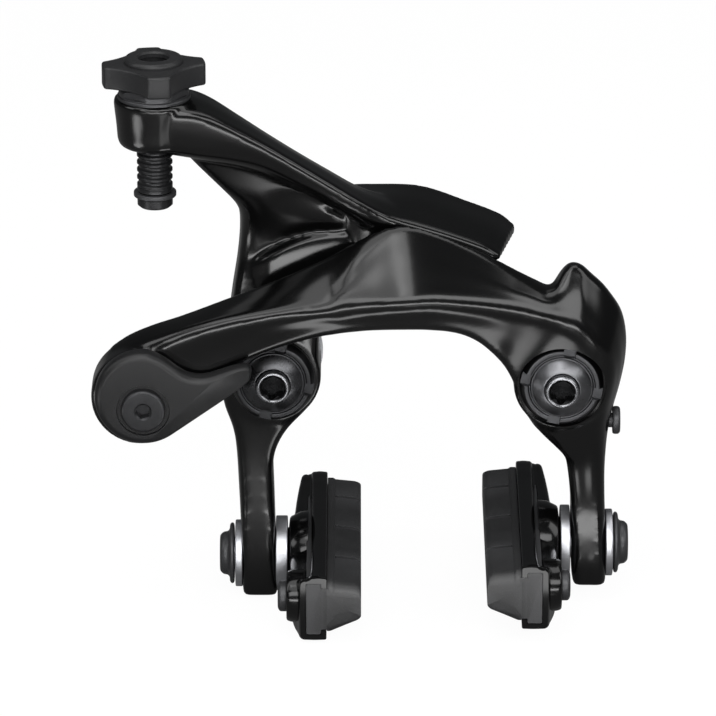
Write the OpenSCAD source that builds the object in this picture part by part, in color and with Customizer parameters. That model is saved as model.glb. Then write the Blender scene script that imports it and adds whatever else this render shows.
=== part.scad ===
// Direct mount rim brake caliper, millimetres.
// The origin is midway between the two frame bolts, on the face that meets the bicycle frame.
// X runs to the right as seen by someone facing the brake, Y runs towards the frame, Z is up.

/* [Mounting] */
// Distance between the two frame bolts
bolt_spacing = 56; // [56:0.5:58]
// Thread diameter of the frame bolts
bolt_d = 6; // [5:0.5:6]
// Length of thread that stands out behind the mounting face
bolt_reach = 12; // [8:0.5:20]
// Distance from the frame to the front of the right pivot boss
right_stack = 18.9; // [18.5:0.1:19.2]
// How much nearer to the frame the left pivot sits
left_set_back = 2.5; // [2.3:0.1:2.8]

/* [Pivots] */
// Outer radius of the pivot sleeves
sleeve_r = 5; // [4.9:0.1:5.1]
// Wall of the bearing bush
bush_wall = 1.5; // [1.2:0.1:1.6]
// Radius of the four-notch lock ring
ring_r = 8.15; // [8:0.05:8.3]
// Radius of the right pivot boss
right_boss_r = 9.3; // [9.1:0.1:9.6]
// Radius of the left pivot boss
left_boss_r = 9.3; // [9.1:0.1:9.6]
// Wire diameter of the return springs
spring_wire = 1.2; // [1:0.1:1.3]
// Turns in each return spring
spring_turns = 3; // [2:0.5:3]

/* [Synchronising roller] */
// Height of the roller centre above the pivots
roller_z = 20; // [19.8:0.1:20.2]
// Radius of the roller
roller_r = 4; // [3.8:0.1:4.1]
// Furthest that the arms close from the rest position, in degrees
close_angle = 8; // [4:0.5:8]

/* [Cable adjuster] */
// Distance of the adjuster axis to the left of the middle
adjuster_x = 50.5; // [50.3:0.1:51]
// Distance of the adjuster axis in front of the frame
adjuster_y = 17.5; // [17:0.1:18]
// Height of the top of the adjuster boss above the pivots
boss_top = 58; // [57.4:0.1:58.6]
// Radius of the threaded barrel
barrel_r = 3.45; // [3.4:0.05:3.6]
// Pitch of the barrel thread
barrel_pitch = 1.5; // [1.25:0.25:1.5]
// Radius of the casing socket in the barrel
casing_r = 2.6; // [2.5:0.05:2.7]
// Radius to the lobes of the knob
knob_r = 9.9; // [9.5:0.1:10.2]

/* [Quick release] */
// Distance of the lever axis to the left of the middle
lever_x = 52.8; // [52.6:0.1:53]
// Height of the lever axis above the pivots
lever_z = -0.5; // [-0.7:0.1:-0.3]
// Radius of the round end of the lever
lever_r = 9.35; // [9.2:0.05:9.4]
// Radius of the arm's round end behind the lever
end_r = 9.6; // [9.4:0.05:9.8]
// Offset of the cable clamp from the lever axis
clamp_offset = 3.4; // [3:0.1:3.5]

/* [Shoes] */
// Distance from the pads' braking faces to each other
pad_gap = 24.4; // [24:0.1:25]
// How far the middle of that gap sits to the right of the frame's middle
gap_shift = 1.3; // [0:0.1:1.5]
// Length of the brake pads
pad_length = 55; // [52:0.5:56]
// Height of the brake pads
pad_height = 10.8; // [10.6:0.1:11]
// Forward tilt of the pads, in degrees
pad_pitch = 1.2; // [1:0.1:1.5]
// Height of the left shoe bolt below the pivots
left_shoe_drop = 38.5; // [38:0.1:39]
// Height of the right shoe bolt below the pivots
right_shoe_drop = 36.2; // [35.8:0.1:36.6]
// Travel of each shoe up and down its slot, from the middle
shoe_travel = 2; // [1:0.25:2]

/* [Fits] */
// Radial clearance of a running fit
fit = 0.05; // [0.03:0.01:0.08]
// Gap between parts that move past each other
gap = 0.3; // [0.25:0.05:0.4]

/* [Hidden] */
$fn = 64;
half = bolt_spacing / 2;
bush_r = sleeve_r + bush_wall;
left_stack = right_stack - left_set_back;
flange_t = 1.5;
ring_t = 2.3;
head_r = 3.3;
dome_r = 5.7;
spring_mid_r = 6.6;
pocket_r = 7.9;
pocket_depth = 6.8;
coil_rise = spring_wire + 0.45;
shoe_y = -12;
stud_r = 3;
boss_low = boss_top - 9.6;
collar_z = boss_top - 1.4;
step_z = collar_z + 2;
knob_z = boss_top + 2.3;
knob_top = knob_z + 4.5;
barrel_low = boss_top - 22.1;
barrel_top = boss_top + 3.5;
circlip_z = barrel_low + 2.6;
screw_back = pad_length / 2 - 6.5;
screw_z = -10.4;
arm_span = bolt_spacing + 4;

// Straight mix of two values or points.
function mix(a, b, t) = a + (b - a) * t;

// Smooth curve through four points, used between the middle two.
function curve(a, b, c, d, t) =
    0.5 * (2 * b + (c - a) * t + (2 * a - 5 * b + 4 * c - d) * t * t + (3 * b - a - 3 * c + d) * t * t * t);

// Stations filled in smoothly, with `steps` rows between each pair.
function fill_in(rows, steps) =
    let (last = len(rows) - 1)
    [for (i = [0:last - 1], s = [0:(i == last - 1 ? steps : steps - 1)])
        curve(rows[max(i - 1, 0)], rows[i], rows[i + 1], rows[min(i + 2, last)], s / steps)];

// Corners joined into a ring, each rounded over `reach` millimetres by a curve of `steps` pieces.
function rounded_ring(corners, reach, steps) =
    let (n = len(corners))
    [for (i = [0:n - 1])
        let (
            p = corners[i],
            back = corners[(i + n - 1) % n] - p,
            ahead = corners[(i + 1) % n] - p,
            r = min(reach[i], 0.48 * norm(back), 0.48 * norm(ahead)),
            a = p + back / norm(back) * r,
            b = p + ahead / norm(ahead) * r
        )
        for (s = [0:steps])
            let (t = s / steps)
            a * (1 - t) * (1 - t) + p * 2 * t * (1 - t) + b * t * t];

// Closed solid through a stack of rings with equal numbers of points.
module skin(rings) {
    n = len(rings[0]);
    m = len(rings);
    ends = [for (r = [rings[0], rings[m - 1]]) [for (k = [0:2]) [for (p = r) p[k]] * [for (p = r) 1] / n]];
    points = concat([for (r = rings) each r], ends);
    sides = [for (i = [0:m - 2], j = [0:n - 1])
        let (a = i * n + j, b = i * n + (j + 1) % n, c = a + n, d = b + n)
        each [[a, d, b], [a, c, d]]];
    first = [for (j = [0:n - 1]) [m * n, j, (j + 1) % n]];
    last = [for (j = [0:n - 1]) [m * n + 1, (m - 1) * n + (j + 1) % n, (m - 1) * n + j]];
    polyhedron(points, concat(sides, first, last));
}

// Cylinder along Y from y0 to y1.
module rod_y(r, y0, y1, x = 0, z = 0, r2 = -1) {
    translate([x, y0, z])
        rotate([-90, 0, 0])
            cylinder(h = y1 - y0, r1 = r, r2 = r2 < 0 ? r : r2);
}

// Cylinder along X from x0 to x1.
module rod_x(r, x0, x1, y = 0, z = 0) {
    translate([x0, y, z])
        rotate([0, 90, 0])
            cylinder(h = x1 - x0, r = r);
}

// Plate drawn in front view, from y0 to y1.
module plate_y(y0, y1) {
    translate([0, y1, 0])
        rotate([90, 0, 0])
            linear_extrude(y1 - y0)
                children();
}

// Slotted hole along X for a shoe stud, tall enough for its travel.
module stud_slot(drop) {
    r = stud_r + fit;
    for (dz = [-shoe_travel, shoe_travel])
        rod_x(r, -arm_span, arm_span, shoe_y, -drop + dz);
    translate([-arm_span, shoe_y - r, -drop - shoe_travel])
        cube([2 * arm_span, 2 * r, 2 * shoe_travel]);
}

// The right arm, one row a station from the quick release end, over the arch and down to the foot.
// Each row is outer back x, z and y, top crease x, z and y, ridge x, z and y,
// then inner x and z, lip y and inner back y.
arm_rows = [
    [-58.2, 8.4, -20.4, -58.0, 7.6, -25.6, -57.4, 5.6, -27.2, -55.0, -4.0, -27.2, -20.4],
    [-52.0, 12.2, -20.4, -51.9, 11.4, -26.8, -51.7, 9.6, -28.2, -49.6, -3.0, -28.0, -20.4],
    [-46.0, 14.9, -20.4, -45.8, 14.2, -27.8, -45.6, 12.6, -28.8, -43.4, 0.8, -28.4, -20.4],
    [-36.0, 18.9, -20.4, -36.0, 17.1, -28.7, -35.8, 15.6, -29.4, -33.8, 7.4, -28.6, -20.4],
    [-29.0, 21.8, -20.4, -28.8, 18.4, -29.1, -28.6, 16.8, -29.6, -27.8, 9.9, -28.4, -20.4],
    [-23.5, 24.2, -20.4, -22.9, 19.4, -29.1, -23.0, 17.6, -29.8, -22.4, 11.6, -28.2, -20.4],
    [-19.6, 26.1, -20.4, -19.0, 20.4, -28.5, -19.2, 18.3, -30.0, -18.6, 12.5, -28.0, -20.4],
    [-16.6, 27.6, -20.4, -16.6, 22.0, -27.6, -16.5, 18.8, -30.2, -16.0, 12.9, -27.9, -20.4],
    [-13.9, 29.2, -20.3, -13.8, 25.5, -26.0, -14.0, 19.2, -30.4, -13.6, 13.2, -27.7, -20.3],
    [-11.4, 30.6, -20.3, -11.4, 28.1, -24.6, -11.4, 19.4, -30.6, -11.0, 13.4, -27.5, -20.3],
    [-8.9, 31.9, -20.2, -8.9, 30.1, -23.2, -8.8, 19.7, -30.8, -8.6, 13.5, -27.3, -20.2],
    [-6.3, 32.8, -20.2, -6.4, 31.7, -22.0, -6.4, 19.9, -31.0, -6.2, 13.6, -27.3, -20.2],
    [-3.6, 33.2, -20.2, -3.6, 32.7, -21.4, -3.7, 20.1, -31.3, -3.6, 13.6, -27.2, -20.2],
    [-2.0, 33.2, -20.2, -2.0, 32.7, -21.3, -2.1, 20.3, -31.5, -2.1, 13.6, -27.2, -20.2],
    [-0.4, 32.9, -20.2, -0.5, 32.4, -21.3, -0.6, 20.4, -31.2, -0.6, 13.6, -27.1, -20.2],
    [2.6, 31.9, -20.2, 2.5, 31.4, -21.3, 2.4, 20.5, -30.6, 2.2, 13.4, -26.8, -20.2],
    [7.2, 30.1, -20.2, 7.0, 29.5, -21.4, 6.8, 20.0, -29.6, 6.6, 12.8, -26.4, -20.2],
    [14.4, 26.7, -19.8, 14.1, 26.0, -21.9, 13.0, 18.9, -28.1, 11.6, 10.3, -25.0, -19.8],
    [19.4, 23.8, -19.0, 19.1, 23.0, -22.4, 18.0, 17.8, -26.9, 14.9, 7.0, -23.8, -17.0],
    [23.2, 21.5, -18.2, 22.9, 20.7, -22.6, 21.9, 16.7, -26.1, 17.0, 4.0, -22.5, -12.0],
    [25.4, 20.2, -17.4, 25.3, 19.5, -22.4, 24.6, 15.8, -25.6, 18.0, 2.0, -21.9, -9.0],
    [26.4, 20.3, -16.4, 26.4, 19.9, -21.6, 26.3, 15.2, -25.3, 18.5, 0.8, -21.5, -7.0],
    [28.2, 22.8, -15.2, 28.2, 22.8, -19.4, 28.2, 14.3, -24.9, 19.0, -0.6, -20.9, -4.0],
    [29.7, 23.7, -14.4, 29.7, 24.4, -18.6, 29.8, 13.6, -24.7, 19.4, -1.4, -20.7, -2.4],
    [31.4, 22.9, -13.6, 31.3, 24.2, -18.3, 31.2, 12.7, -24.5, 19.7, -2.2, -20.6, -1.8],
    [33.6, 20.2, -12.0, 33.5, 22.2, -17.8, 33.0, 11.0, -24.2, 20.0, -3.4, -20.4, -1.8],
    [35.8, 17.6, -10.6, 35.8, 20.0, -17.2, 34.7, 9.0, -24.0, 20.4, -4.8, -20.3, -1.8],
    [37.7, 14.6, -9.0, 37.8, 17.2, -16.6, 36.0, 7.2, -23.7, 21.0, -6.2, -20.1, -1.8],
    [39.5, 11.4, -7.4, 39.5, 14.2, -16.0, 37.0, 5.2, -23.4, 21.8, -7.6, -19.9, -1.8],
    [40.6, 6.6, -5.6, 40.6, 9.4, -15.4, 37.7, 3.0, -22.8, 22.8, -9.2, -19.6, -1.8],
    [40.6, 1.6, -4.0, 40.6, 4.0, -15.0, 37.8, 0.4, -22.0, 24.2, -10.8, -19.4, -1.8],
    [39.7, -3.0, -3.0, 39.7, -1.4, -14.8, 37.4, -2.8, -20.8, 25.6, -12.4, -19.0, -2.4],
    [38.4, -7.2, -2.8, 38.4, -6.6, -14.8, 36.6, -6.6, -19.4, 27.2, -14.2, -18.4, -3.6],
    [37.4, -12.0, -3.6, 37.4, -12.0, -14.8, 35.8, -12.0, -17.8, 28.8, -16.4, -17.4, -4.4],
    [36.9, -18.0, -4.8, 36.9, -18.0, -15.0, 35.6, -18.0, -16.8, 29.4, -18.6, -16.6, -4.8],
    [36.9, -26.0, -5.6, 36.9, -26.0, -15.4, 35.6, -26.0, -16.8, 30.3, -26.0, -16.6, -5.6],
    [37.2, -34.0, -6.0, 37.2, -34.0, -16.8, 36.0, -34.0, -18.2, 30.4, -34.0, -18.0, -6.0],
    [37.2, -39.0, -6.6, 37.2, -39.0, -17.2, 36.0, -39.0, -18.8, 30.5, -39.0, -18.6, -6.6],
    [37.0, -42.6, -7.6, 37.0, -42.6, -16.6, 35.8, -42.6, -18.2, 31.0, -42.6, -18.0, -7.6],
    [36.4, -43.9, -9.6, 36.4, -43.9, -14.8, 35.4, -43.9, -16.2, 31.6, -43.9, -16.0, -9.6]
];

function arm_ring(s) = rounded_ring([
    [s[0], s[2], s[1]],
    [s[3], s[5], s[4]],
    [s[6], s[8], s[7]],
    [s[9], s[11], s[10]],
    [s[9], s[12], s[10]]
], [1.6, 1.8, 2.2, 1.5, 1.2], 3);

// One level of the left arm's column: z, left x, right x, front y at the left and right, back y.
function level_ring(s) = rounded_ring([
    [s[1], s[3], s[0]],
    [s[1], s[5], s[0]],
    [s[2], s[5], s[0]],
    [s[2], s[4], s[0]]
], [2.2, 1.4, 1.4, 2.2], 3);

// Hollows that every pivot boss has: spring pocket, bush seat, sleeve clearance and ring recess.
module pivot_hollows(side, stack) {
    rod_y(pocket_r, -pocket_depth - flange_t - gap, 5, side * half);
    rod_y(bush_r, -stack - 8, 5, side * half);
    rod_y(ring_r + 0.5, -40, -stack, side * half);
}

module right_arm() {
    color("#17181a")
        difference() {
            union() {
                skin([for (s = fill_in(arm_rows, 2)) arm_ring(s)]);
                rod_y(right_boss_r, -right_stack - 1.4, -flange_t - gap, half);
                rod_y(end_r, -28.9, -20.2, -53.4, 0.4);
            }
            pivot_hollows(1, right_stack);
            rod_y(4.5 + fit, -35, -10, -lever_x, lever_z);
            rod_y(2.2, -27.5, -10, 0, roller_z);
            stud_slot(right_shoe_drop);
            rod_x(1.5, 28, 45, shoe_y, screw_z);
        }
}

// The left arm's beam, one row a station from the adjuster to the tip of the wing.
// Each row is top back x and z, ridge x and z, belly x and z, low x and z,
// then y of the back, ridge, belly and low edges.
beam_rows = [
    [-53.5, boss_top - 0.4, -53.5, boss_top - 1.1, -53.3, boss_top - 8.2,
        -53.0, boss_top - 9.6, -11.6, -22.6, -22.4, -20.8],
    [-47.4, boss_top - 0.1, -47.2, boss_top - 0.9, -47.0, boss_top - 9.1,
        -46.6, boss_top - 10.8, -10.8, -24.4, -23.8, -21.6],
    [-43.6, boss_top - 0.2, -43.6, boss_top - 0.7, -43.6, boss_top - 9.6,
        -43.6, boss_top - 11.4, -10.8, -24.7, -23.9, -21.2],
    [-40.6, boss_top - 1.2, -40.6, boss_top - 1.5, -40.7, boss_top - 10.0,
        -40.8, boss_top - 12.2, -11.5, -24.5, -23.8, -20.8],
    [-35.4, 53.7, -35.5, 54.0, -35.7, 47.2, -36.0, 44.8, -12.4, -24.2, -23.5, -20.2],
    [-30.4, 50.3, -30.4, 51.1, -30.7, 46.0, -31.2, 43.4, -12.6, -23.9, -23.2, -19.8],
    [-23.6, 45.7, -23.6, 46.7, -24.0, 42.8, -24.8, 40.2, -12.2, -23.2, -22.6, -19.4],
    [-16.9, 41.2, -16.9, 42.2, -17.4, 38.8, -18.4, 36.6, -11.0, -22.4, -21.8, -19.0],
    [-11.4, 37.7, -11.4, 38.3, -12.0, 35.4, -13.0, 33.4, -10.0, -21.4, -20.9, -18.6],
    [-6.4, 35.4, -6.6, 35.0, -7.2, 32.8, -8.4, 30.8, -8.0, -19.9, -19.8, -18.2],
    [-1.0, 33.5, -1.0, 32.8, -1.6, 30.8, -2.2, 28.8, -8.0, -19.4, -19.4, -18.2],
    [1.5, 32.4, 1.5, 31.8, 0.8, 30.4, 0.2, 28.6, -8.0, -19.2, -19.2, -18.0]
];

function beam_ring(s) = rounded_ring([
    [s[0], s[8], s[1]],
    [s[2], s[9], s[3]],
    [s[4], s[10], s[5]],
    [s[6], s[11], s[7]],
    [s[6], s[8], s[7]]
], [1.6, 1.6, 2.4, 1.6, 1.2], 3);

// The left arm's wing, one row a station, from inside the arm to the tip.
// Each row is front x, front top z, back x, back top z, low z, back y and front y.
wing_rows = [
    [-24.0, 33.8, -24.0, 33.0, 26.0, -6.4, -10.6],
    [-16.0, 35.6, -16.0, 35.0, 23.4, -2.6, -13.4],
    [-8.0, 34.8, -8.0, 35.3, 22.4, -1.4, -18.8],
    [0.0, 32.6, 0.6, 35.0, 22.2, -1.4, -19.4],
    [8.6, 29.8, 9.6, 31.9, 22.6, -1.4, -19.4],
    [13.6, 27.7, 16.6, 29.1, 24.2, -1.6, -19.4],
    [15.0, 26.8, 18.8, 27.9, 25.2, -2.0, -19.4],
    [15.6, 26.4, 19.8, 27.0, 25.8, -2.6, -19.2]
];

function wing_ring(s) = rounded_ring([
    [s[2], s[5], s[3]],
    [s[0], s[6], s[1]],
    [s[0], s[6], s[4]],
    [s[2], s[5], s[4]]
], [1.2, 1.0, 0.8, 0.8], 3);

// The left arm's column and leg, one row a level from under the beam down.
// Each row is z, left x, right x, front y at the left, front y at the right, back y.
column_rows = [
    [50.0, -47.0, -38.0, -20.0, -20.0, -13.0],
    [45.5, -43.6, -28.0, -19.4, -18.6, -11.0],
    [41.8, -40.6, -23.0, -17.8, -16.8, -9.0],
    [37.6, -37.2, -18.6, -16.0, -15.2, -6.6],
    [34.2, -34.9, -15.4, -14.6, -14.2, -5.0],
    [31.4, -34.1, -13.6, -13.7, -13.6, -4.2],
    [27.0, -34.3, -12.6, -12.7, -13.0, -3.4],
    [22.6, -34.7, -13.4, -12.4, -13.0, -2.8],
    [16.5, -35.7, -17.2, -14.4, -14.4, -1.8],
    [8.0, -36.8, -19.2, -16.2, -16.2, -1.8],
    [0.0, -38.2, -19.0, -16.2, -16.2, -1.8],
    [-6.0, -37.8, -20.4, -16.1, -16.1, -2.2],
    [-11.0, -35.9, -25.2, -16.0, -16.0, -3.4],
    [-16.5, -35.1, -28.0, -16.3, -16.3, -4.8],
    [-24.0, -34.7, -28.0, -17.2, -17.2, -5.6],
    [-32.0, -34.3, -27.8, -18.2, -18.2, -6.0],
    [-39.0, -34.0, -27.7, -18.8, -18.8, -6.2],
    [-44.2, -33.5, -27.8, -18.0, -18.0, -7.4],
    [-46.2, -32.6, -28.4, -14.6, -14.6, -9.6]
];

// The rib along the foot of the column, one row a station from left to right.
// Each row is x, top z, low z, back y, edge y, low y.
rib_rows = [
    [-34.3, 21.4, 14.0, -8.0, -12.6, -13.6],
    [-33.4, 22.0, 14.0, -8.0, -14.4, -15.2],
    [-31.0, 23.8, 14.0, -8.0, -15.0, -15.9],
    [-28.0, 25.5, 15.0, -8.0, -15.2, -16.2],
    [-22.3, 28.1, 17.0, -8.0, -15.2, -16.3],
    [-16.6, 29.3, 20.0, -8.0, -15.4, -16.4],
    [-12.4, 29.5, 22.0, -8.0, -15.9, -16.8]
];

function rib_ring(s) = rounded_ring([
    [s[0], s[3], s[1]],
    [s[0], s[4], s[1]],
    [s[0], s[5], s[2]],
    [s[0], s[3], s[2]]
], [0.8, 0.9, 0.8, 0.8], 2);

// Centre of the roller as the left arm sees it when both arms have closed by angle a.
function roller_path(a) = [
    2 * half * cos(a) - half * cos(2 * a) + roller_z * sin(2 * a) - half,
    -2 * half * sin(a) + half * sin(2 * a) + roller_z * cos(2 * a)
];

// Cam line that the roller touches: the path pushed square to itself by the roller's radius.
function cam_point(a) =
    let (
        p = roller_path(a),
        d = roller_path(a + 0.1) - roller_path(a - 0.1),
        u = d / norm(d)
    )
    p + (roller_r + fit) * [-u[1], u[0]];

module roller_room() {
    angles = [for (a = [-3:0.5:close_angle + 3]) a];
    line = [for (a = angles) cam_point(a)];
    left = line[0];
    right = line[len(line) - 1];
    plate_y(-30, 5)
        polygon(concat([[left[0] - 5, roller_z - 12], [left[0] - 5, left[1] - 4]], line,
            [[right[0] + 2.5, right[1] - 3.5], [right[0] + 2.5, roller_z - 12]]));
}

module left_arm() {
    color("#17181a")
        difference() {
            union() {
                skin([for (s = fill_in(beam_rows, 3)) beam_ring(s)]);
                skin([for (s = fill_in(wing_rows, 3)) wing_ring(s)]);
                skin([for (s = fill_in(column_rows, 2)) level_ring(s)]);
                skin([for (s = fill_in(rib_rows, 2)) rib_ring(s)]);
                rod_y(left_boss_r, -left_stack, -flange_t - gap, -half);
                translate([-adjuster_x, -adjuster_y, boss_low])
                    cylinder(h = boss_top - boss_low, r1 = 6.9, r2 = 7.8);
            }
            pivot_hollows(-1, left_stack);
            roller_room();
            translate([-adjuster_x, -adjuster_y, boss_low - 8])
                cylinder(h = 30, r = barrel_r + fit);
            translate([-adjuster_x, -adjuster_y, collar_z])
                cylinder(h = 5, r = 7.05);
            stud_slot(left_shoe_drop);
        }
}

module bush(side, stack) {
    color("#b9a27a")
        difference() {
            rod_y(bush_r, -stack, -pocket_depth - flange_t - gap, side * half);
            rod_y(sleeve_r + fit, -40, 5, side * half);
        }
}

module right_bush() {
    bush(1, right_stack);
}

module left_bush() {
    bush(-1, left_stack);
}

// Bolt with its domed head, six-lobed socket and the thread behind the mounting face.
module frame_bolt(side, stack) {
    front = -stack - gap - ring_t;
    color("#8c9094")
        difference() {
            union() {
                rod_y(head_r, front - 3.2, front - 0.6, side * half);
                rod_y(bolt_d / 2 - 0.2, front - 1, 0, side * half);
                rod_y(bolt_d / 2, 0, bolt_reach - 0.6, side * half);
                rod_y(bolt_d / 2, bolt_reach - 0.6, bolt_reach, side * half, 0, bolt_d / 2 - 0.6);
            }
            rod_y(2.05, front - 4, front - 0.4, side * half);
            for (a = [0:60:300])
                rod_y(0.62, front - 4, front - 0.4, side * half + 2 * cos(a), 2 * sin(a));
        }
}

module right_frame_bolt() {
    frame_bolt(1, right_stack);
}

module left_frame_bolt() {
    frame_bolt(-1, left_stack);
}

// Sleeve that the arm turns on, with its rear flange against the bicycle frame.
module pivot_sleeve(side, stack) {
    color("#55585c")
        difference() {
            union() {
                rod_y(side > 0 ? 8.6 : 9.6, -flange_t, 0, side * half);
                rod_y(sleeve_r, -stack - gap - ring_t + 0.3, 0, side * half);
            }
            rod_y(bolt_d / 2 + fit, -40, 5, side * half);
        }
}

module right_pivot_sleeve() {
    pivot_sleeve(1, right_stack);
}

module left_pivot_sleeve() {
    pivot_sleeve(-1, left_stack);
}

// Lock ring with four spanner notches, screwed on the sleeve.
module lock_ring(side, stack) {
    color("#3c3f44")
        difference() {
            union() {
                rod_y(ring_r, -stack - gap - 0.9, -stack - gap, side * half);
                rod_y(ring_r - 0.9, -stack - gap - ring_t, -stack - gap - 0.9, side * half, 0, ring_r);
            }
            rod_y(sleeve_r, -40, 5, side * half);
            for (a = [12:90:282])
                translate([side * half, 0, 0])
                    rotate([0, a, 0])
                        translate([ring_r - 2.1, -stack - gap - ring_t - 1, -1.2])
                            cube([4, ring_t - 0.2, 2.4]);
        }
}

module right_lock_ring() {
    lock_ring(1, right_stack);
}

module left_lock_ring() {
    lock_ring(-1, left_stack);
}

module dome_washer(side, stack) {
    front = -stack - gap - ring_t;
    ball = 8.2;
    a0 = asin(dome_r / ball);
    arc = [for (i = [0:6]) let (a = a0 * (1 - i / 6)) [ball * sin(a), ball * (cos(a) - cos(a0)) + 0.2]];
    color("#9a9da1")
        difference() {
            translate([side * half, front, 0])
                rotate([90, 0, 0])
                    rotate_extrude()
                        polygon(concat([[0, 0], [dome_r, 0]], arc));
            rod_y(bolt_d / 2 + fit, -40, 5, side * half);
            rod_y(head_r + fit, -40, front - 0.6, side * half);
        }
}

module right_dome_washer() {
    dome_washer(1, right_stack);
}

module left_dome_washer() {
    dome_washer(-1, left_stack);
}

// Torsion spring: one unbroken wire wound round the sleeve behind the arm.
module return_spring(side) {
    steps = 24 * spring_turns;
    front = -flange_t - gap - spring_wire / 2 - 0.1;
    path = [for (i = [0:steps])
        let (a = side * i * 15)
        [side * half + spring_mid_r * sin(a), front - coil_rise * i / 24, spring_mid_r * cos(a)]];
    color("#7d8084")
        skin([for (i = [0:steps])
            let (a = side * i * 15, out = [sin(a), 0, cos(a)])
            [for (k = [0:5])
                path[i] + spring_wire / 2 * (out * cos(60 * k * side) + [0, 1, 0] * sin(60 * k * side))]]);
}

module right_return_spring() {
    return_spring(1);
}

module left_return_spring() {
    return_spring(-1);
}

module roller_pin() {
    color("#9a9da1")
        union() {
            rod_y(2.2, -27.4, -11, 0, roller_z);
            rod_y(3, -11, -10, 0, roller_z);
        }
}

module sync_roller() {
    color("#c9c4b4")
        difference() {
            rod_y(roller_r, -18.8, -11.3, 0, roller_z);
            rod_y(2.2 + fit, -40, 5, 0, roller_z);
        }
}

module centring_screw() {
    color("#1d1e20")
        difference() {
            union() {
                rod_x(1.45, half + 1.2, half + 11, shoe_y, screw_z);
                rod_x(2.75, half + 10.3, half + 11.8, shoe_y, screw_z);
            }
            translate([half + 11, shoe_y, screw_z])
                rotate([0, 90, 0])
                    cylinder(h = 2, r = 1.15, $fn = 6);
        }
}

module on_adjuster() {
    translate([-adjuster_x, -adjuster_y, 0])
        children();
}

// Collar seated in the boss, with the step that the knob clicks over.
module index_collar() {
    color("#2b2d30")
        on_adjuster()
            difference() {
                union() {
                    translate([0, 0, collar_z])
                        cylinder(h = 2, r = 7.05);
                    translate([0, 0, step_z])
                        cylinder(h = 1.6, r = 6.8);
                }
                translate([0, 0, collar_z - 6])
                    cylinder(h = 20, r = barrel_r + fit);
                for (a = [10:90:280])
                    rotate(a)
                        translate([6.6, -2.2, step_z])
                            cube([2, 4.4, 3]);
            }
}

// Four flat-ended lobes joined by hollow sides.
module adjuster_knob() {
    turn = 100;
    lobe = 2.2;
    hollow_r = 12.3;
    reach = knob_r * 0.98;
    color("#232427")
        on_adjuster()
            difference() {
                union() {
                    translate([0, 0, knob_z + 0.2])
                        linear_extrude(knob_top - knob_z - 0.2)
                            rotate(turn)
                                difference() {
                                    square(2 * reach, center = true);
                                    for (a = [0:90:270])
                                        rotate(a + 45)
                                            translate([hollow_r + 7.2, 0])
                                                circle(hollow_r);
                                    for (a = [0:90:270])
                                        rotate(a)
                                            translate([knob_r, lobe])
                                                square(8);
                                    for (a = [0:90:270])
                                        rotate(a)
                                            translate([knob_r, -lobe - 8])
                                                square(8);
                                }
                    translate([0, 0, knob_top])
                        cylinder(h = 1.1, r1 = 5.8, r2 = 5.5);
                    translate([0, 0, knob_z])
                        cylinder(h = 1, r = 6.4);
                }
                translate([0, 0, knob_z - 1])
                    cylinder(h = 5.6, r = barrel_r + fit);
                translate([0, 0, knob_z - 1])
                    cylinder(h = 10, r = 2.9);
            }
}

// Threaded tube that carries the cable casing; its ribs stand for the thread.
module adjuster_barrel() {
    low = barrel_low;
    top = barrel_top;
    root_r = barrel_r - 0.35;
    turns = floor((top - low - 5) / barrel_pitch);
    teeth = [for (i = [0:turns - 1])
        let (z = low + 4.2 + i * barrel_pitch)
        each [[root_r, z], [barrel_r, z + 0.45], [barrel_r, z + 0.75], [root_r, z + 1.1]]];
    color("#2a2b2e")
        on_adjuster()
            difference() {
                rotate_extrude()
                    polygon(concat([[0, low], [barrel_r - 0.5, low], [barrel_r, low + 0.4]],
                        [[barrel_r, low + 1.9], [root_r, low + 2.1], [root_r, low + 3.1]],
                        [[barrel_r, low + 3.3], [barrel_r, low + 4]],
                        teeth, [[root_r, top], [0, top]]));
                translate([0, 0, top - 9.5])
                    cylinder(h = 20, r = casing_r);
                translate([0, 0, low - 5])
                    cylinder(h = 40, r = 1);
            }
}

module barrel_circlip() {
    color("#3a3c40")
        on_adjuster()
            translate([0, 0, circlip_z])
                difference() {
                    rotate_extrude()
                        polygon([[0, -0.45], [3.8, -0.45], [4.1, -0.2],
                            [4.1, 0.2], [3.8, 0.45], [0, 0.45]]);
                    translate([0, 0, -1])
                        cylinder(h = 2, r = barrel_r - 0.3);
                    rotate(120)
                        translate([1, -1, -1])
                            cube([5, 2, 2]);
                }
}

// Lever outline: a round end, a hollow upper flank and a rounded tip.
module lever_shape(shrink) {
    r = lever_r - shrink;
    round_z = lever_z + 2.2;
    tip = [-34.2, 5.8];
    tip_r = 2 - shrink * 0.5;
    hollow_r = 9;
    hollow = [-40.6, 15.4 + shrink];
    flank = [for (a = [205:8:290]) hollow + hollow_r * [cos(a), sin(a)]];
    translate([-lever_x, round_z])
        circle(r);
    translate(tip)
        circle(tip_r);
    polygon(concat([[-lever_x, round_z], [-lever_x + r * cos(78), round_z + r * sin(78)]], flank,
        [tip + tip_r * [cos(100), sin(100)], tip + tip_r * [cos(-52), sin(-52)]],
        [[-lever_x + r * cos(-54), round_z + r * sin(-54)]]));
}

module quick_release_lever() {
    color("#26272a")
        difference() {
            union() {
                plate_y(-32.2, -29.2)
                    lever_shape(0);
                plate_y(-32.9, -32.2)
                    lever_shape(0.8);
            }
            rod_y(5.1, -40, -32.2, -lever_x, lever_z);
            rod_y(2.55, -40, -20, -lever_x, lever_z);
        }
}

module lever_cap_screw() {
    color("#202124")
        difference() {
            union() {
                rod_y(4.2, -33.6, -32.2, -lever_x, lever_z);
                rod_y(2.5, -32.4, -24, -lever_x, lever_z);
            }
            translate([-lever_x, -31.4, lever_z])
                rotate([90, 0, 0])
                    cylinder(h = 5, r = 1.45, $fn = 6);
        }
}

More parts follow.
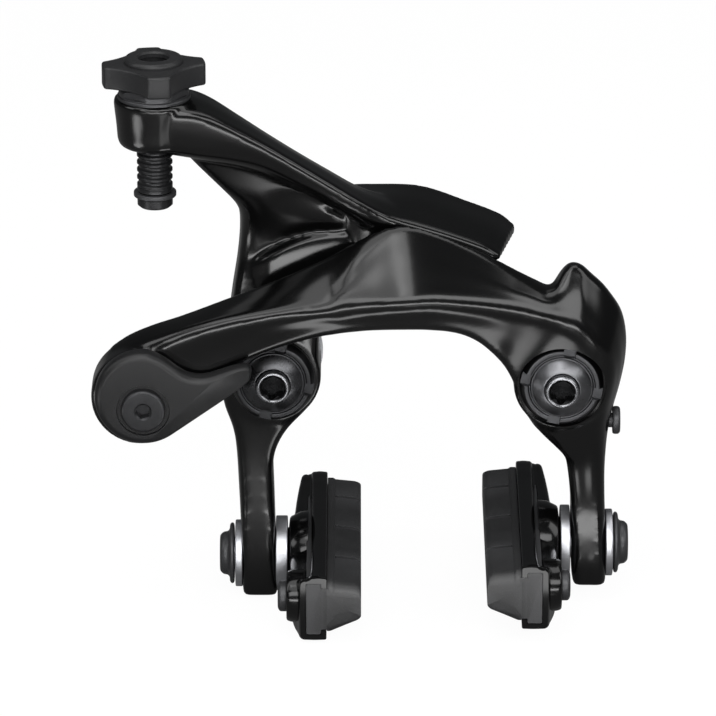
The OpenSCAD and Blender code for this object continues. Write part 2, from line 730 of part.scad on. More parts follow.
// Shaft that the lever turns, with an off-centre seat for the cable clamp behind the arm.
module quick_release_shaft() {
    color("#8c9094")
        difference() {
            union() {
                rod_y(4.5, -29.2, -19.9, -lever_x, lever_z);
                rod_y(7.2, -19.9, -17.4, -lever_x, lever_z);
            }
            rod_y(2.5, -40, -23, -lever_x, lever_z);
            rod_y(2, -19.9, -10, -lever_x + clamp_offset, lever_z);
        }
}

module clamp_washer() {
    color("#a7aaae")
        difference() {
            rod_y(3.6, -17.4, -15.8, -lever_x + clamp_offset, lever_z);
            rod_y(2 + fit, -40, 5, -lever_x + clamp_offset, lever_z);
            translate([-lever_x - 0.2, -17.5, -6])
                cube([1, 0.9, 12]);
        }
}

module clamp_bolt() {
    color("#8c9094")
        difference() {
            union() {
                rod_y(2, -19.8, -13.6, -lever_x + clamp_offset, lever_z);
                rod_y(3.4, -15.8, -12.6, -lever_x + clamp_offset, lever_z);
            }
            translate([-lever_x + clamp_offset, -11, lever_z])
                rotate([90, 0, 0])
                    cylinder(h = 3.6, r = 1.45, $fn = 6);
        }
}

// Places a shoe piece drawn for the left side, with its bolt axis on X and its origin on the stem's middle.
module on_shoe(side) {
    leg_x = side < 0 ? -30.75 : 33.7;
    drop = side < 0 ? left_shoe_drop : right_shoe_drop;
    translate([leg_x, shoe_y, -drop])
        scale([side < 0 ? 1 : -1, 1, 1])
            children();
}

// Distance from the stem's middle to the braking face of a shoe.
function face_at(side) = (side < 0 ? 30.75 : 33.7) - pad_gap / 2 + (side < 0 ? gap_shift : -gap_shift);

module outer_washer() {
    color("#c4c7cb")
        difference() {
            rod_x(6.4, -4.9, -3.85);
            rod_x(stud_r + fit, -20, 20);
        }
}

module inner_washer(start) {
    color("#d0d2d5")
        difference() {
            rod_x(6.9, start, 5.35);
            rod_x(stud_r + fit, -20, 20);
            translate([13, 0, 0])
                sphere(r = 9.2);
        }
}

module stud() {
    color("#8c9094")
        union() {
            rod_x(stud_r, -7.2, 6.2);
            rod_x(stud_r - 0.6, -7.9, -7.2);
        }
}

module stud_nut() {
    color("#1b1c1e")
        difference() {
            union() {
                rod_x(6, -6.2, -5.1);
                rod_x(4.2, -7.9, -6.2);
            }
            rod_x(stud_r, -20, -4);
        }
}

// Side view of a shoe: a bar with slanting ends, drawn about the bolt axis.
module shoe_side(length, height, nose) {
    h = height / 2;
    l = length / 2;
    polygon([[-l, -h + nose], [-l + nose, -h], [l - nose, -h], [l, -h + nose], [l, h - nose], [l - nose, h],
        [-l + nose, h], [-l, h - nose]]);
}

module plate_x(x0, x1) {
    translate([x0, 0, 0])
        rotate([90, 0, 90])
            linear_extrude(x1 - x0)
                children();
}

// The holder, one row a station from its back end to its front.
// Each row is y, outer side x from the holder's back, shoulder z, hollow z, top z and low z.
holder_rows = [
    [27.5, 1.0, 3.2, 4.2, 4.9, -4.9],
    [27.0, 0.4, 3.8, 4.9, 5.8, -5.7],
    [25.8, 0.1, 4.2, 5.2, 6.5, -6.4],
    [24.0, 0.0, 4.2, 5.1, 6.6, -6.6],
    [16.0, -0.5, 3.6, 4.5, 6.6, -6.6],
    [6.0, -1.1, 3.0, 4.0, 6.6, -6.6],
    [0.0, -1.6, 2.6, 3.8, 6.6, -6.6],
    [-14.0, -1.6, 2.6, 3.8, 6.6, -6.6],
    [-22.0, -1.2, 3.2, 4.3, 6.6, -6.6],
    [-25.8, -0.3, 4.4, 5.4, 6.6, -6.6],
    [-27.2, 0.0, 5.2, 6.1, 6.6, -6.6],
    [-27.5, 0.2, 5.1, 6.0, 6.4, -6.4]
];

function holder_ring(s, back) = rounded_ring([
    [back + 5.2, s[0], s[4]],
    [back + 2.3, s[0], s[4]],
    [back + 1.9, s[0], s[3]],
    [back + s[1], s[0], s[2]],
    [back + s[1], s[0], s[5]],
    [back + 5.2, s[0], s[5]]
], [0.4, 0.9, 0.5, 1.1, 1, 0.4], 3);

// Section of the pad's tongue and of its neck between the holder's two lips, grown by `grow`.
module tongue_section(back, grow) {
    h = pad_height / 2;
    polygon([[back + 1.3 - grow, -h + 0.1 - grow], [back + 4.1 + grow, -h + 0.1 - grow],
        [back + 4.1 + grow, -h + 1.1 - grow], [back + 5.5, -h + 1.1 - grow], [back + 5.5, h - 1.1 + grow],
        [back + 4.1 + grow, h - 1.1 + grow], [back + 4.1 + grow, h - 0.1 + grow],
        [back + 1.3 - grow, h - 0.1 + grow]]);
}

// Runs a section drawn in X and Z from y0 to y1.
module run_y(y0, y1) {
    translate([0, y1, 0])
        rotate([90, 0, 0])
            linear_extrude(y1 - y0)
                children();
}

// Holder: a channel open at the front that the pad slides into.
// On its back are a ball seat and a boss for the pad screw.
module shoe_holder(side) {
    back = face_at(side) - 11.9;
    color("#141517")
        rotate([pad_pitch, 0, 0])
            difference() {
                union() {
                    skin([for (s = fill_in(holder_rows, 2)) holder_ring(s, back)]);
                    rod_x(5.2, 7.0, back + 1);
                    rod_x(5.0, back - 2.6, back + 1, -screw_back);
                    intersection() {
                        translate([12.9, 0, 0])
                            sphere(r = 9.0);
                        rod_x(6.2, 3.6, 9);
                    }
                }
                rod_x(stud_r, -20, 6.2);
                run_y(-40, 24.9)
                    tongue_section(back, 0.1);
                rod_x(1.5, back - 8, back + 6, -screw_back);
            }
}

module shoe_pad(side) {
    back = face_at(side) - 11.9;
    front = face_at(side);
    h = pad_height / 2;
    color("#3a3b3d")
        rotate([pad_pitch, 0, 0])
            difference() {
                union() {
                    run_y(-pad_length / 2, 24.8)
                        tongue_section(back, 0);
                    intersection() {
                        plate_x(back + 5.2, front)
                            shoe_side(pad_length, pad_height, 1.6);
                        run_y(-pad_length, pad_length)
                            polygon([[back + 5, -h], [back + 5.8, -h], [front - 0.5, -h + 2.7],
                                [front, -h + 3.2], [front, h - 1.4], [front - 0.7, h - 0.8],
                                [back + 6.6, h - 0.2], [back + 6.3, h], [back + 5, h]]);
                    }
                }
                rod_x(1.55, back - 8, back + 4.6, -screw_back);
                for (i = [-1:1])
                    translate([front - 5.1, 1.6 + i * 15.1 - 0.5, -10])
                        cube([6, 1, 20]);
            }
}

module pad_screw(side) {
    back = face_at(side) - 11.9;
    color("#1d1e20")
        rotate([pad_pitch, 0, 0])
            difference() {
                union() {
                    rod_x(1.5, back - 3, back + 4.4, -screw_back);
                    rod_x(3, back - 4.3, back - 2.6, -screw_back);
                }
                translate([back - 5, -screw_back, 0])
                    rotate([0, 90, 0])
                        cylinder(h = 1.8, r = 1.2, $fn = 6);
            }
}

module left_outer_washer() {
    on_shoe(-1)
        outer_washer();
}

module left_inner_washer() {
    on_shoe(-1)
        inner_washer(3.4);
}

module left_stud() {
    on_shoe(-1)
        stud();
}

module left_stud_nut() {
    on_shoe(-1)
        stud_nut();
}

module left_shoe_holder() {
    on_shoe(-1)
        shoe_holder(-1);
}

module left_pad() {
    on_shoe(-1)
        shoe_pad(-1);
}

module left_pad_screw() {
    on_shoe(-1)
        pad_screw(-1);
}

module right_outer_washer() {
    on_shoe(1)
        outer_washer();
}

module right_inner_washer() {
    on_shoe(1)
        inner_washer(3.7);
}

module right_stud() {
    on_shoe(1)
        stud();
}

module right_stud_nut() {
    on_shoe(1)
        stud_nut();
}

module right_shoe_holder() {
    on_shoe(1)
        shoe_holder(1);
}

module right_pad() {
    on_shoe(1)
        shoe_pad(1);
}

module right_pad_screw() {
    on_shoe(1)
        pad_screw(1);
}

echo(spring_gap = coil_rise - spring_wire);

right_arm();
left_arm();
right_bush();
left_bush();
right_frame_bolt();
left_frame_bolt();
right_pivot_sleeve();
left_pivot_sleeve();
right_lock_ring();
left_lock_ring();
right_dome_washer();
left_dome_washer();
right_return_spring();
left_return_spring();
roller_pin();
sync_roller();
centring_screw();
index_collar();
adjuster_knob();
adjuster_barrel();
barrel_circlip();
quick_release_lever();
lever_cap_screw();
quick_release_shaft();
clamp_washer();
clamp_bolt();
left_outer_washer();
left_inner_washer();
left_stud();
left_stud_nut();
left_shoe_holder();
left_pad();
left_pad_screw();
right_outer_washer();
right_inner_washer();
right_stud();
right_stud_nut();
right_shoe_holder();
right_pad();
right_pad_screw();
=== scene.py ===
"""Looks of a direct mount rim brake caliper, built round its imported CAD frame.

Lengths in this file are millimetres in the CAD frame, and turn into metres when a mesh is made.
"""

import math

import bmesh
import bpy
import numpy as np
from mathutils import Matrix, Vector


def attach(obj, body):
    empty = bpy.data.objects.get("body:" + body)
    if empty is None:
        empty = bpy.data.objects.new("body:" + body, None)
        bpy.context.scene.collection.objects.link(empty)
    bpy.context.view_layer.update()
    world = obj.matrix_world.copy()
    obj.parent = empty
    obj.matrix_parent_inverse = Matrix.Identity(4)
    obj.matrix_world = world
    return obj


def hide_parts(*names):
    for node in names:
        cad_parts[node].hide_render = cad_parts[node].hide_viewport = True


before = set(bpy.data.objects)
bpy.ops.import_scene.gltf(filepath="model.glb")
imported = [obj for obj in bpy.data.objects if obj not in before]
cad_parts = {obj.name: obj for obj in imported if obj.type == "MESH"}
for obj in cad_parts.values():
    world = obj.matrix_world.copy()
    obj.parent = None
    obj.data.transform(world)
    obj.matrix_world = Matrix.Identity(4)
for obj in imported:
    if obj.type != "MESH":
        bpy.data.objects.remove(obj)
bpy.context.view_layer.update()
MM = 0.001
TAU = 2 * math.pi

# Places and sizes that several pieces share. Of each pair, -1 is the left side and 1 the right. The
# frame's mounting face is at y = 0, and the front of the brake looks towards -y.

SIDES = {-1: "left", 1: "right"}
PIVOT = {-1: (-28, 0, 0), 1: (28, 0, 0)}
ROLLER = (0, 0, 20)
LEVER = (-52.8, 0, -0.5)
CENTRING = (0, -12.0, -10.4)

# The pivots: the arms start behind the gap, and the lock ring sits in its recess on top of the stack.

MOUNT_GAP = 1.8
STACK = {-1: 16.4, 1: 18.9}
RING_GAP = 0.3
RING_THICK = 2.3
PIVOT_BOSS_R = 9.3

# The cable adjuster: its upright axis, and the foot and bore of its collar.

ADJUSTER = (-50.5, -17.5, 0)
COLLAR_LOW = 56.6
COLLAR_BORE_R = 3.5

# The shoes. Their pieces are drawn round the left stud, with x along it from the leg to the rim. The
# holder's back and the pad's screw are given from there.

SHOE_AT = {-1: (-30.75, -12.0, -38.5), 1: (33.7, -12.0, -36.2)}
SHOE_PITCH = math.radians(1.2)
ON_STUD = (0, 0, 0)
HOLDER_BACK = {-1: 7.95, 1: 8.3}
PAD_SCREW = (0, -21, 0)
PAD_SCREW_HOLE_R = 1.5
PAD_HALF_LENGTH = 27.5
PAD_HALF_HEIGHT = 5.4

# The camera, fitted to the round parts of the photograph.

ELEVATION = math.radians(20.5)
DISTANCE = 1200.0
TARGET = Vector((-11.5, -15.0, 3.66))
PHOTO_WIDTH = 716
PIXELS_PER_MM = 5.14
SENSOR = 36


def make_camera():
    """Camera in front of the brake, 20.5 degrees above it, where the photograph was taken from."""
    data = bpy.data.cameras.new("camera")
    data.sensor_width = SENSOR
    data.lens = SENSOR * PIXELS_PER_MM * DISTANCE / PHOTO_WIDTH
    data.clip_start = 0.05
    data.clip_end = 50
    camera = bpy.data.objects.new("camera", data)
    back = Vector((0, -math.cos(ELEVATION), math.sin(ELEVATION)))
    camera.location = (TARGET + back * DISTANCE) * MM
    camera.rotation_euler = back.to_track_quat("Z", "Y").to_euler()
    bpy.context.scene.collection.objects.link(camera)
    bpy.context.scene.camera = camera


make_camera()

# Surfaces.


def bell(values, middle, width):
    """Bell curve: 1 at the middle, falling to 0.61 at one width from it."""
    return np.exp(-0.5 * ((values - middle) / width) ** 2)


def soften(rows, width):
    """Bell-shaped average along the rows, `width` rows wide, with both ends kept in place: past each
    end the rows go on as their own mirror image through the end point."""
    reach = min(int(3 * width) + 1, len(rows) - 1)
    weights = bell(np.arange(-reach, reach + 1), 0, width)
    weights /= weights.sum()
    before = 2 * rows[0] - rows[reach:0:-1]
    after = 2 * rows[-1] - rows[-2 : -reach - 2 : -1]
    padded = np.concatenate([before, rows, after])
    return np.stack([np.convolve(column, weights, "valid") for column in padded.T], 1)


def flow(rows, spacing, soft):
    """Rows of numbers joined smoothly: cubic pieces whose slope at a row is that of the parabola
    through it and its neighbours, sampled every `spacing` mm, then softened over `soft` mm."""
    rows = np.asarray(rows, float)
    step = np.linalg.norm(np.diff(rows, axis=0), axis=1) / math.sqrt(rows.shape[1] / 3)
    at = np.concatenate([[0], np.cumsum(step)])
    slope = np.diff(rows, axis=0) / step[:, None]
    inner = (step[1:, None] * slope[:-1] + step[:-1, None] * slope[1:]) / (step[1:] + step[:-1])[:, None]
    tangent = np.concatenate([slope[:1], inner, slope[-1:]])
    where = np.linspace(0, at[-1], max(8, int(at[-1] / spacing)))
    i = np.clip(np.searchsorted(at, where, "right") - 1, 0, len(step) - 1)
    t = ((where - at[i]) / step[i])[:, None]
    h = step[i][:, None]
    made = (
        (2 * t**3 - 3 * t**2 + 1) * rows[i]
        + (t**3 - 2 * t**2 + t) * h * tangent[i]
        + (3 * t**2 - 2 * t**3) * rows[i + 1]
        + (t**3 - t**2) * h * tangent[i + 1]
    )
    return soften(made, soft / spacing)


def unit(v):
    """Vectors divided by their own length."""
    return v / np.maximum(np.linalg.norm(v, axis=-1, keepdims=True), 1e-9)


def band(corners, reach, crown, bend, across):
    """Closed rings through corners of shape (rings, corners, 3). A corner is rounded by a quadratic
    curve that starts `reach` mm away, and a side bulges by `crown` mm times 16 t^2 (1 - t)^2."""
    count = corners.shape[1]
    normal = unit(np.cross(corners[:, 1:-1] - corners[:, :1], corners[:, 2:] - corners[:, :1]).sum(1))
    starts, ends, parts = [], [], []
    for j in range(count):
        p = corners[:, j]
        back = corners[:, j - 1] - p
        ahead = corners[:, (j + 1) % count] - p
        long_back = np.linalg.norm(back, axis=1)
        long_ahead = np.linalg.norm(ahead, axis=1)
        r = np.minimum(np.minimum(reach[j], 0.46 * long_back), 0.46 * long_ahead)[:, None]
        starts.append(p + unit(back) * r)
        ends.append(p + unit(ahead) * r)
    for j in range(count):
        t = np.linspace(0, 1, bend + 1)[None, :, None]
        p = corners[:, j][:, None]
        parts.append(starts[j][:, None] * (1 - t) ** 2 + p * 2 * t * (1 - t) + ends[j][:, None] * t**2)
        t = np.linspace(0, 1, across + 2)[None, 1:-1, None]
        a, b = ends[j][:, None], starts[(j + 1) % count][:, None]
        out = unit(np.cross(b - a, normal[:, None]))
        parts.append(a + (b - a) * t + out * crown[j] * 16 * (t * (1 - t)) ** 2)
    return np.concatenate(parts, 1)


def round_end(rings, depth, steps=6):
    """Adds rings past the last one that shrink along a quarter circle of radius `depth`."""
    middle = rings.mean(1, keepdims=True)
    ahead = unit(middle[-1] - middle[-2])[0]
    size = np.linalg.norm(rings[-1] - middle[-1], axis=1).mean()
    turn = np.linspace(0, math.pi / 2, steps + 1)[1:]
    shrink = (1 - depth / size * (1 - np.cos(turn)))[:, None, None]
    moved = middle[-1] + ahead * depth * np.sin(turn)[:, None, None]
    return np.concatenate([rings, moved + (rings[-1] - middle[-1])[None] * shrink])


def round_both(rings, first, last):
    """Rounds the last end, then the first, by round_end."""
    return round_end(round_end(rings, last)[::-1], first)[::-1]


def grid_shell(rings, wrap=False):
    """Quads between neighbouring closed rings. The end rings are closed by fans, or joined when wrap."""
    m, n = rings.shape[:2]
    ids = np.arange(m * n).reshape(m, n)
    a = ids if wrap else ids[:-1]
    b = np.roll(ids, -1, 0) if wrap else ids[1:]
    quads = np.stack([a, np.roll(a, -1, 1), np.roll(b, -1, 1), b], -1).reshape(-1, 4)
    points = rings.reshape(-1, 3)
    faces = [quads]
    if not wrap:
        middles = np.stack([rings[0].mean(0), rings[-1].mean(0)])
        points = np.concatenate([points, middles])
        first, last = ids[0], ids[-1]
        faces.append(np.stack([np.roll(first, -1), first, np.full(n, m * n)], -1))
        faces.append(np.stack([last, np.roll(last, -1), np.full(n, m * n + 1)], -1))
    return points, faces


def rounded(points, radius, steps=5, closed=True):
    """Flat outline with each corner replaced by a quadratic curve of about that radius."""
    p = np.asarray(points, float)
    radius = np.broadcast_to(np.asarray(radius, float), len(p))
    back, ahead = np.roll(p, 1, 0) - p, np.roll(p, -1, 0) - p
    lb, la = np.linalg.norm(back, axis=1), np.linalg.norm(ahead, axis=1)
    r = np.minimum(np.minimum(radius, 0.49 * lb), 0.49 * la)[:, None]
    t = np.linspace(0, 1, steps + 1)[None, :, None]
    a, b = p + back / lb[:, None] * r, p + ahead / la[:, None] * r
    made = a[:, None] * (1 - t) ** 2 + p[:, None] * 2 * t * (1 - t) + b[:, None] * t**2
    if closed:
        return made.reshape(-1, 2)
    return np.concatenate([p[:1], made[1:-1].reshape(-1, 2), p[-1:]])


AXES = {"x": (0, 1, 2), "y": (1, 2, 0), "z": (2, 0, 1)}


def lathe(profile, axis, centre, around=96, closed=False):
    """Profile rows of (place along the axis, radius) turned once round the axis."""
    profile = np.asarray(profile, float)
    turn = np.arange(around) / around * TAU
    made = np.zeros((len(profile), around, 3))
    along, side, other = AXES[axis]
    made[..., along] = profile[:, :1] + centre[along]
    made[..., side] = profile[:, 1:] * np.cos(turn) + centre[side]
    made[..., other] = profile[:, 1:] * np.sin(turn) + centre[other]
    return grid_shell(made, wrap=closed)


def rod(axis, radius, start, end, centre, around=64):
    """Plain round rod, used to cut holes."""
    return lathe([[start, radius], [end, radius]], axis, centre, around)


INSET_STEP = 0.12
EVENING = 0.15


def inset(outline, depth):
    """Outline moved inwards along its own normals, for an outline that runs anticlockwise. It goes in
    short steps and is evened out at each, so that narrow corners never cross themselves."""
    steps = max(1, math.ceil(depth / INSET_STEP))
    for _ in range(steps):
        side = unit(np.roll(outline, -1, 0) - np.roll(outline, 1, 0))
        outline = outline + np.stack([-side[:, 1], side[:, 0]], 1) * depth / steps
        beside = np.roll(outline, -1, 0) + np.roll(outline, 1, 0)
        outline = outline * (1 - 2 * EVENING) + beside * EVENING
    return outline


def plate(outline, levels, axis):
    """Outline carried along an axis: each level is a place along it and an inset of the outline.
    The two end faces are single flat faces."""
    outline = np.asarray(outline, float)
    area = (outline[:, 0] * np.roll(outline[:, 1], -1) - np.roll(outline[:, 0], -1) * outline[:, 1]).sum()
    if area < 0:
        outline = outline[::-1]
    along, side, other = AXES[axis]
    rings = np.zeros((len(levels), len(outline), 3))
    for i, (place, depth) in enumerate(levels):
        moved = inset(outline, depth) if depth else outline
        rings[i, :, along] = place
        rings[i, :, side] = moved[:, 0]
        rings[i, :, other] = moved[:, 1]
    points, faces = grid_shell(rings)
    n = len(outline)
    return points[:-2], [faces[0], np.arange(n)[::-1][None], (np.arange(n) + (len(levels) - 1) * n)[None]]


FACE_LIFT = 0.012
FACE_INSET = 0.15


def edge_levels(low, high, foot, top, steps):
    """Levels for plate() whose two edges are rounded by quarter circles of the radii `foot` and `top`.
    Each end face is lifted a hair, so that a cut never meets a row of faces in its own plane."""
    a = np.linspace(0, math.pi / 2, steps + 1)
    first = [(low + foot * (1 - math.sin(t)), foot * (1 - math.cos(t))) for t in a[::-1]]
    last = [(high - top * (1 - math.sin(t)), top * (1 - math.cos(t))) for t in a]
    return [(low - FACE_LIFT, foot + FACE_INSET)] + first + last + [(high + FACE_LIFT, top + FACE_INSET)]


def shifted(shell, change):
    """Shell with its points put through a function of an array of points."""
    return change(shell[0]), shell[1]


def object_from(name, shell):
    """Mesh object from a shell: metres, doubles merged, faces outward."""
    mesh = bpy.data.meshes.new(name)
    faces = [row for f in shell[1] for row in f.tolist()]
    mesh.from_pydata((shell[0] * MM).tolist(), [], faces)
    work = bmesh.new()
    work.from_mesh(mesh)
    bmesh.ops.remove_doubles(work, verts=work.verts, dist=2e-7)
    bmesh.ops.dissolve_degenerate(work, dist=1e-8, edges=work.edges)
    bmesh.ops.recalc_face_normals(work, faces=work.faces)
    work.to_mesh(mesh)
    work.free()
    made = bpy.data.objects.new(name, mesh)
    bpy.context.scene.collection.objects.link(made)
    return made


VOXEL = 0.42


def carved(name, solids, holes, blend):
    """Object made of closed shells joined into one skin, with other shells cut away. With blend, the
    joined skin is evened out that many times before the cuts, so that its parts run into each other."""
    base = object_from(name, solids[0])
    tools = []
    for kind, group in (("UNION", solids[1:]), ("DIFFERENCE", holes)):
        if blend and kind == "DIFFERENCE":
            even = base.modifiers.new("even", "REMESH")
            even.mode, even.voxel_size = "VOXEL", VOXEL * MM
            run = base.modifiers.new("run", "SMOOTH")
            run.factor, run.iterations = 0.5, blend
        for shell in group:
            tool = object_from(name + "_tool", shell)
            tools.append(tool)
            step = base.modifiers.new(kind.lower(), "BOOLEAN")
            step.operation = kind
            step.solver = "MANIFOLD"
            step.object = tool
    graph = bpy.context.evaluated_depsgraph_get()
    made = bpy.data.meshes.new_from_object(base.evaluated_get(graph), depsgraph=graph)
    base.modifiers.clear()
    old = base.data
    base.data = made
    bpy.data.meshes.remove(old)
    made.name = name
    for tool in tools:
        mesh = tool.data
        bpy.data.objects.remove(tool)
        bpy.data.meshes.remove(mesh)
    return base


def mark_edges(mesh):
    """Stores how far each point stands out from its neighbours as the attribute 'edge': the mean,
    over its neighbours, of its normal times the unit step from the neighbour to it."""
    count = len(mesh.vertices)
    place, normal = np.zeros(count * 3), np.zeros(count * 3)
    mesh.vertices.foreach_get("co", place)
    mesh.vertices.foreach_get("normal", normal)
    place, normal = place.reshape(-1, 3), normal.reshape(-1, 3)
    ends = np.zeros(len(mesh.edges) * 2, np.int64)
    mesh.edges.foreach_get("vertices", ends)
    a, b = ends.reshape(-1, 2).T
    step = unit(place[a] - place[b])
    total, times = np.zeros(count), np.zeros(count)
    np.add.at(total, a, (normal[a] * step).sum(1))
    np.add.at(total, b, -(normal[b] * step).sum(1))
    np.add.at(times, a, 1)
    np.add.at(times, b, 1)
    stand = total / np.maximum(times, 1)
    kept = mesh.attributes.new("edge", "FLOAT", "POINT")
    kept.data.foreach_set("value", np.clip(stand * 2.5, 0, 1).astype(np.float32))


def piece(name, body, paint, solids, holes=(), blend=0, sharp=35):
    """The look of one CAD node: its shell with its shading, material, body, replaced node and slot."""
    plain = len(solids) == 1 and not holes
    label = name + "_shell"
    made = object_from(label, solids[0]) if plain else carved(label, solids, holes, blend)
    mesh = made.data
    mesh.materials.clear()  # a boolean leaves an empty slot
    mesh.materials.append(paint)
    mesh.shade_smooth()
    mesh.set_sharp_from_angle(angle=math.radians(sharp))
    mark_edges(mesh)
    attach(made, body)
    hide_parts(name)


# Materials.


class Value:
    """A number socket. Sums, products and the rest add Math nodes."""

    def __init__(self, graph, socket):
        self.graph, self.socket = graph, socket

    def math(self, operation, *values, clamp=False):
        """One Math node fed with the values."""
        settings = {"operation": operation, "use_clamp": clamp}
        made = self.graph.node("ShaderNodeMath", settings, dict(enumerate(values)))
        return Value(self.graph, made.outputs[0])

    def __add__(self, other):
        return self.math("ADD", self, other)

    __radd__ = __add__

    def __sub__(self, other):
        return self.math("SUBTRACT", self, other)

    def __rsub__(self, other):
        return self.math("SUBTRACT", other, self)

    def __mul__(self, other):
        return self.math("MULTIPLY", self, other)

    def sine(self):
        """The sine of the value, in radians."""
        return self.math("SINE", self)

    def clamped(self):
        """The value kept between 0 and 1."""
        return self.math("ADD", self, 0.0, clamp=True)

    def rising(self, low, high):
        """0 below low, 1 above high, straight between."""
        return self.math("MULTIPLY", self - low, 1 / (high - low), clamp=True)


class Graph:
    """A node tree under construction."""

    def __init__(self, tree):
        self.tree = tree
        tree.nodes.clear()

    def feed(self, socket, value):
        """Links a socket or a Value, or sets a constant."""
        if isinstance(value, Value):
            value = value.socket
        if isinstance(value, bpy.types.NodeSocket):
            self.tree.links.new(value, socket)
        else:
            socket.default_value = value

    def node(self, kind, settings, inputs):
        """A node of a type, with its settings and the values or links of its inputs."""
        made = self.tree.nodes.new(kind)
        for key, value in settings.items():
            setattr(made, key, value)
        for key, value in inputs.items():
            self.feed(made.inputs[key], value)
        return made


class Paint(Graph):
    """A material under construction."""

    def __init__(self, name):
        self.material = bpy.data.materials.new(name)
        self.material.use_nodes = True
        super().__init__(self.material.node_tree)
        self.place = self.node("ShaderNodeTexCoord", {}, {}).outputs["Object"]

    def noise(self, scale, detail, rough=0.5, place=None):
        """Cloudy pattern from 0 to 1, `scale` waves a metre."""
        made = self.node(
            "ShaderNodeTexNoise",
            {"noise_dimensions": "3D"},
            {"Vector": place or self.place, "Scale": scale, "Detail": detail, "Roughness": rough},
        )
        return Value(self, made.outputs["Fac"])

    def cells(self, scale):
        """Distance to the nearest of scattered points, in cells."""
        made = self.node("ShaderNodeTexVoronoi", {"feature": "F1"}, {"Vector": self.place, "Scale": scale})
        return Value(self, made.outputs["Distance"])

    def edge(self):
        """The 'edge' attribute of the mesh: 1 on outward edges, 0 on flats."""
        made = self.node("ShaderNodeAttribute", {"attribute_name": "edge"}, {})
        return Value(self, made.outputs["Fac"])

    def stretched(self, size):
        """Object coordinates scaled along each axis."""
        inputs = {"Vector": self.place, "Scale": size}
        return self.node("ShaderNodeMapping", {"vector_type": "POINT"}, inputs).outputs[0]

    def radius_from(self, centre, axis):
        """Distance in metres from an axis through `centre` (mm), as a Value."""
        moved = self.node(
            "ShaderNodeVectorMath",
            {"operation": "SUBTRACT"},
            {0: self.place, 1: tuple(c * MM for c in centre)},
        ).outputs[0]
        flat = [1.0, 1.0, 1.0]
        flat["xyz".index(axis)] = 0.0
        pressed = self.node("ShaderNodeVectorMath", {"operation": "MULTIPLY"}, {0: moved, 1: tuple(flat)})
        length = self.node("ShaderNodeVectorMath", {"operation": "LENGTH"}, {0: pressed.outputs[0]})
        return Value(self, length.outputs["Value"])

    def mix(self, factor, first, second):
        """Colour between two others: the first where the factor is 0, the second where it is 1."""
        made = self.node("ShaderNodeMix", {"data_type": "RGBA"}, {})
        self.feed(made.inputs[0], factor)
        self.feed(made.inputs[6], first)
        self.feed(made.inputs[7], second)
        return made.outputs[2]

    def bump(self, height, strength, depth):
        """Normal of a relief whose full height is `depth` metres."""
        made = self.node("ShaderNodeBump", {}, {"Height": height, "Strength": strength, "Distance": depth})
        return made.outputs["Normal"]

    def surface(self, inputs):
        """The finished material: one Principled shader with these inputs."""
        shader = self.node("ShaderNodeBsdfPrincipled", {}, inputs)
        self.node("ShaderNodeOutputMaterial", {}, {"Surface": shader.outputs[0]})
        return self.material


def grey(level):
    """Grey with a touch of blue."""
    return (level, level * 1.01, level * 1.06, 1.0)


def painted_black(name, coat_rough):
    """Painted or anodised alloy: near black, fine grain, light orange peel, edges worn a little paler."""
    p, tone = Paint(name), 0.0007
    cloud = p.noise(90, 3)
    fine = p.noise(5200, 2, 0.6)
    worn = (p.edge() * (0.35 + cloud * 0.9)).rising(0.25, 0.95)
    colour = p.mix(cloud, grey(tone * 0.75), grey(tone * 1.3))
    colour = p.mix(fine.rising(0.58, 0.75) * 0.5, colour, grey(tone * 2.6))
    colour = p.mix(worn * 0.35, colour, grey(tone * 4.5))
    roughness = 0.36 + cloud * 0.05 + fine * 0.05 + worn * 0.06
    height = fine * 0.25 + p.noise(520, 1) * 0.9
    normal = p.bump(height, 0.16, 0.00006)
    return p.surface({
        "Base Color": colour, "Roughness": roughness, "Normal": normal,
        "Coat Weight": 1.0, "Coat Roughness": coat_rough, "Specular IOR Level": 0.01,
    })


def satin_grey(name, tone, rough, speck):
    """Bead-blasted alloy: matte, with pale specks."""
    p = Paint(name)
    fine = p.noise(3600, 3, 0.65)
    cloud = p.noise(160, 3)
    worn = (p.edge() * (0.4 + p.noise(700, 2) * 0.9)).rising(0.25, 0.9)
    colour = p.mix(cloud, grey(tone * 0.8), grey(tone * 1.25))
    colour = p.mix(fine.rising(0.55, 0.72) * speck, colour, grey(tone * 2.6))
    colour = p.mix(worn * 0.5, colour, grey(tone * 3.4))
    normal = p.bump(fine, 0.35, 0.00005)
    return p.surface({
        "Base Color": colour, "Roughness": rough - 0.03 + cloud * 0.08 - worn * 0.08, "Normal": normal,
        "Coat Weight": 0.15, "Coat Roughness": 0.3, "Metallic": 0.25, "Specular IOR Level": 0.3,
    })


def turned_steel(name, tone, rough, centre, axis, pitch, painted_socket_shade_r=0.0):
    """Turned metal: fine circles round an axis, darker in places, with small nicks. Within a given radius
    of the axis it is painted near black, a painted shade that stands in for the dark inside of a deep
    socket."""
    p = Paint(name)
    away = p.radius_from(centre, axis)
    wave = (away * (TAU / (pitch * MM))).sine()
    stain = p.noise(420, 3, 0.6)
    nick = p.noise(2600, 2).rising(0.66, 0.74)
    colour = p.mix(stain, grey(tone * 0.72), grey(tone * 1.15))
    colour = p.mix(nick * 0.5, colour, grey(tone * 0.4))
    # Painted shade: the socket's middle is coloured near black rather than left to the light.
    if painted_socket_shade_r:
        colour = p.mix((away * 1000).rising(painted_socket_shade_r, painted_socket_shade_r - 0.12) * 0.97, colour, grey(0.004))
    height = wave * 0.5 + p.noise(1400, 2) * 0.3 - nick * 0.5
    return p.surface({
        "Base Color": colour, "Metallic": 1.0, "Roughness": rough - 0.04 + stain * 0.12 + nick * 0.15,
        "Normal": p.bump(height, 0.3, 0.00001),
    })


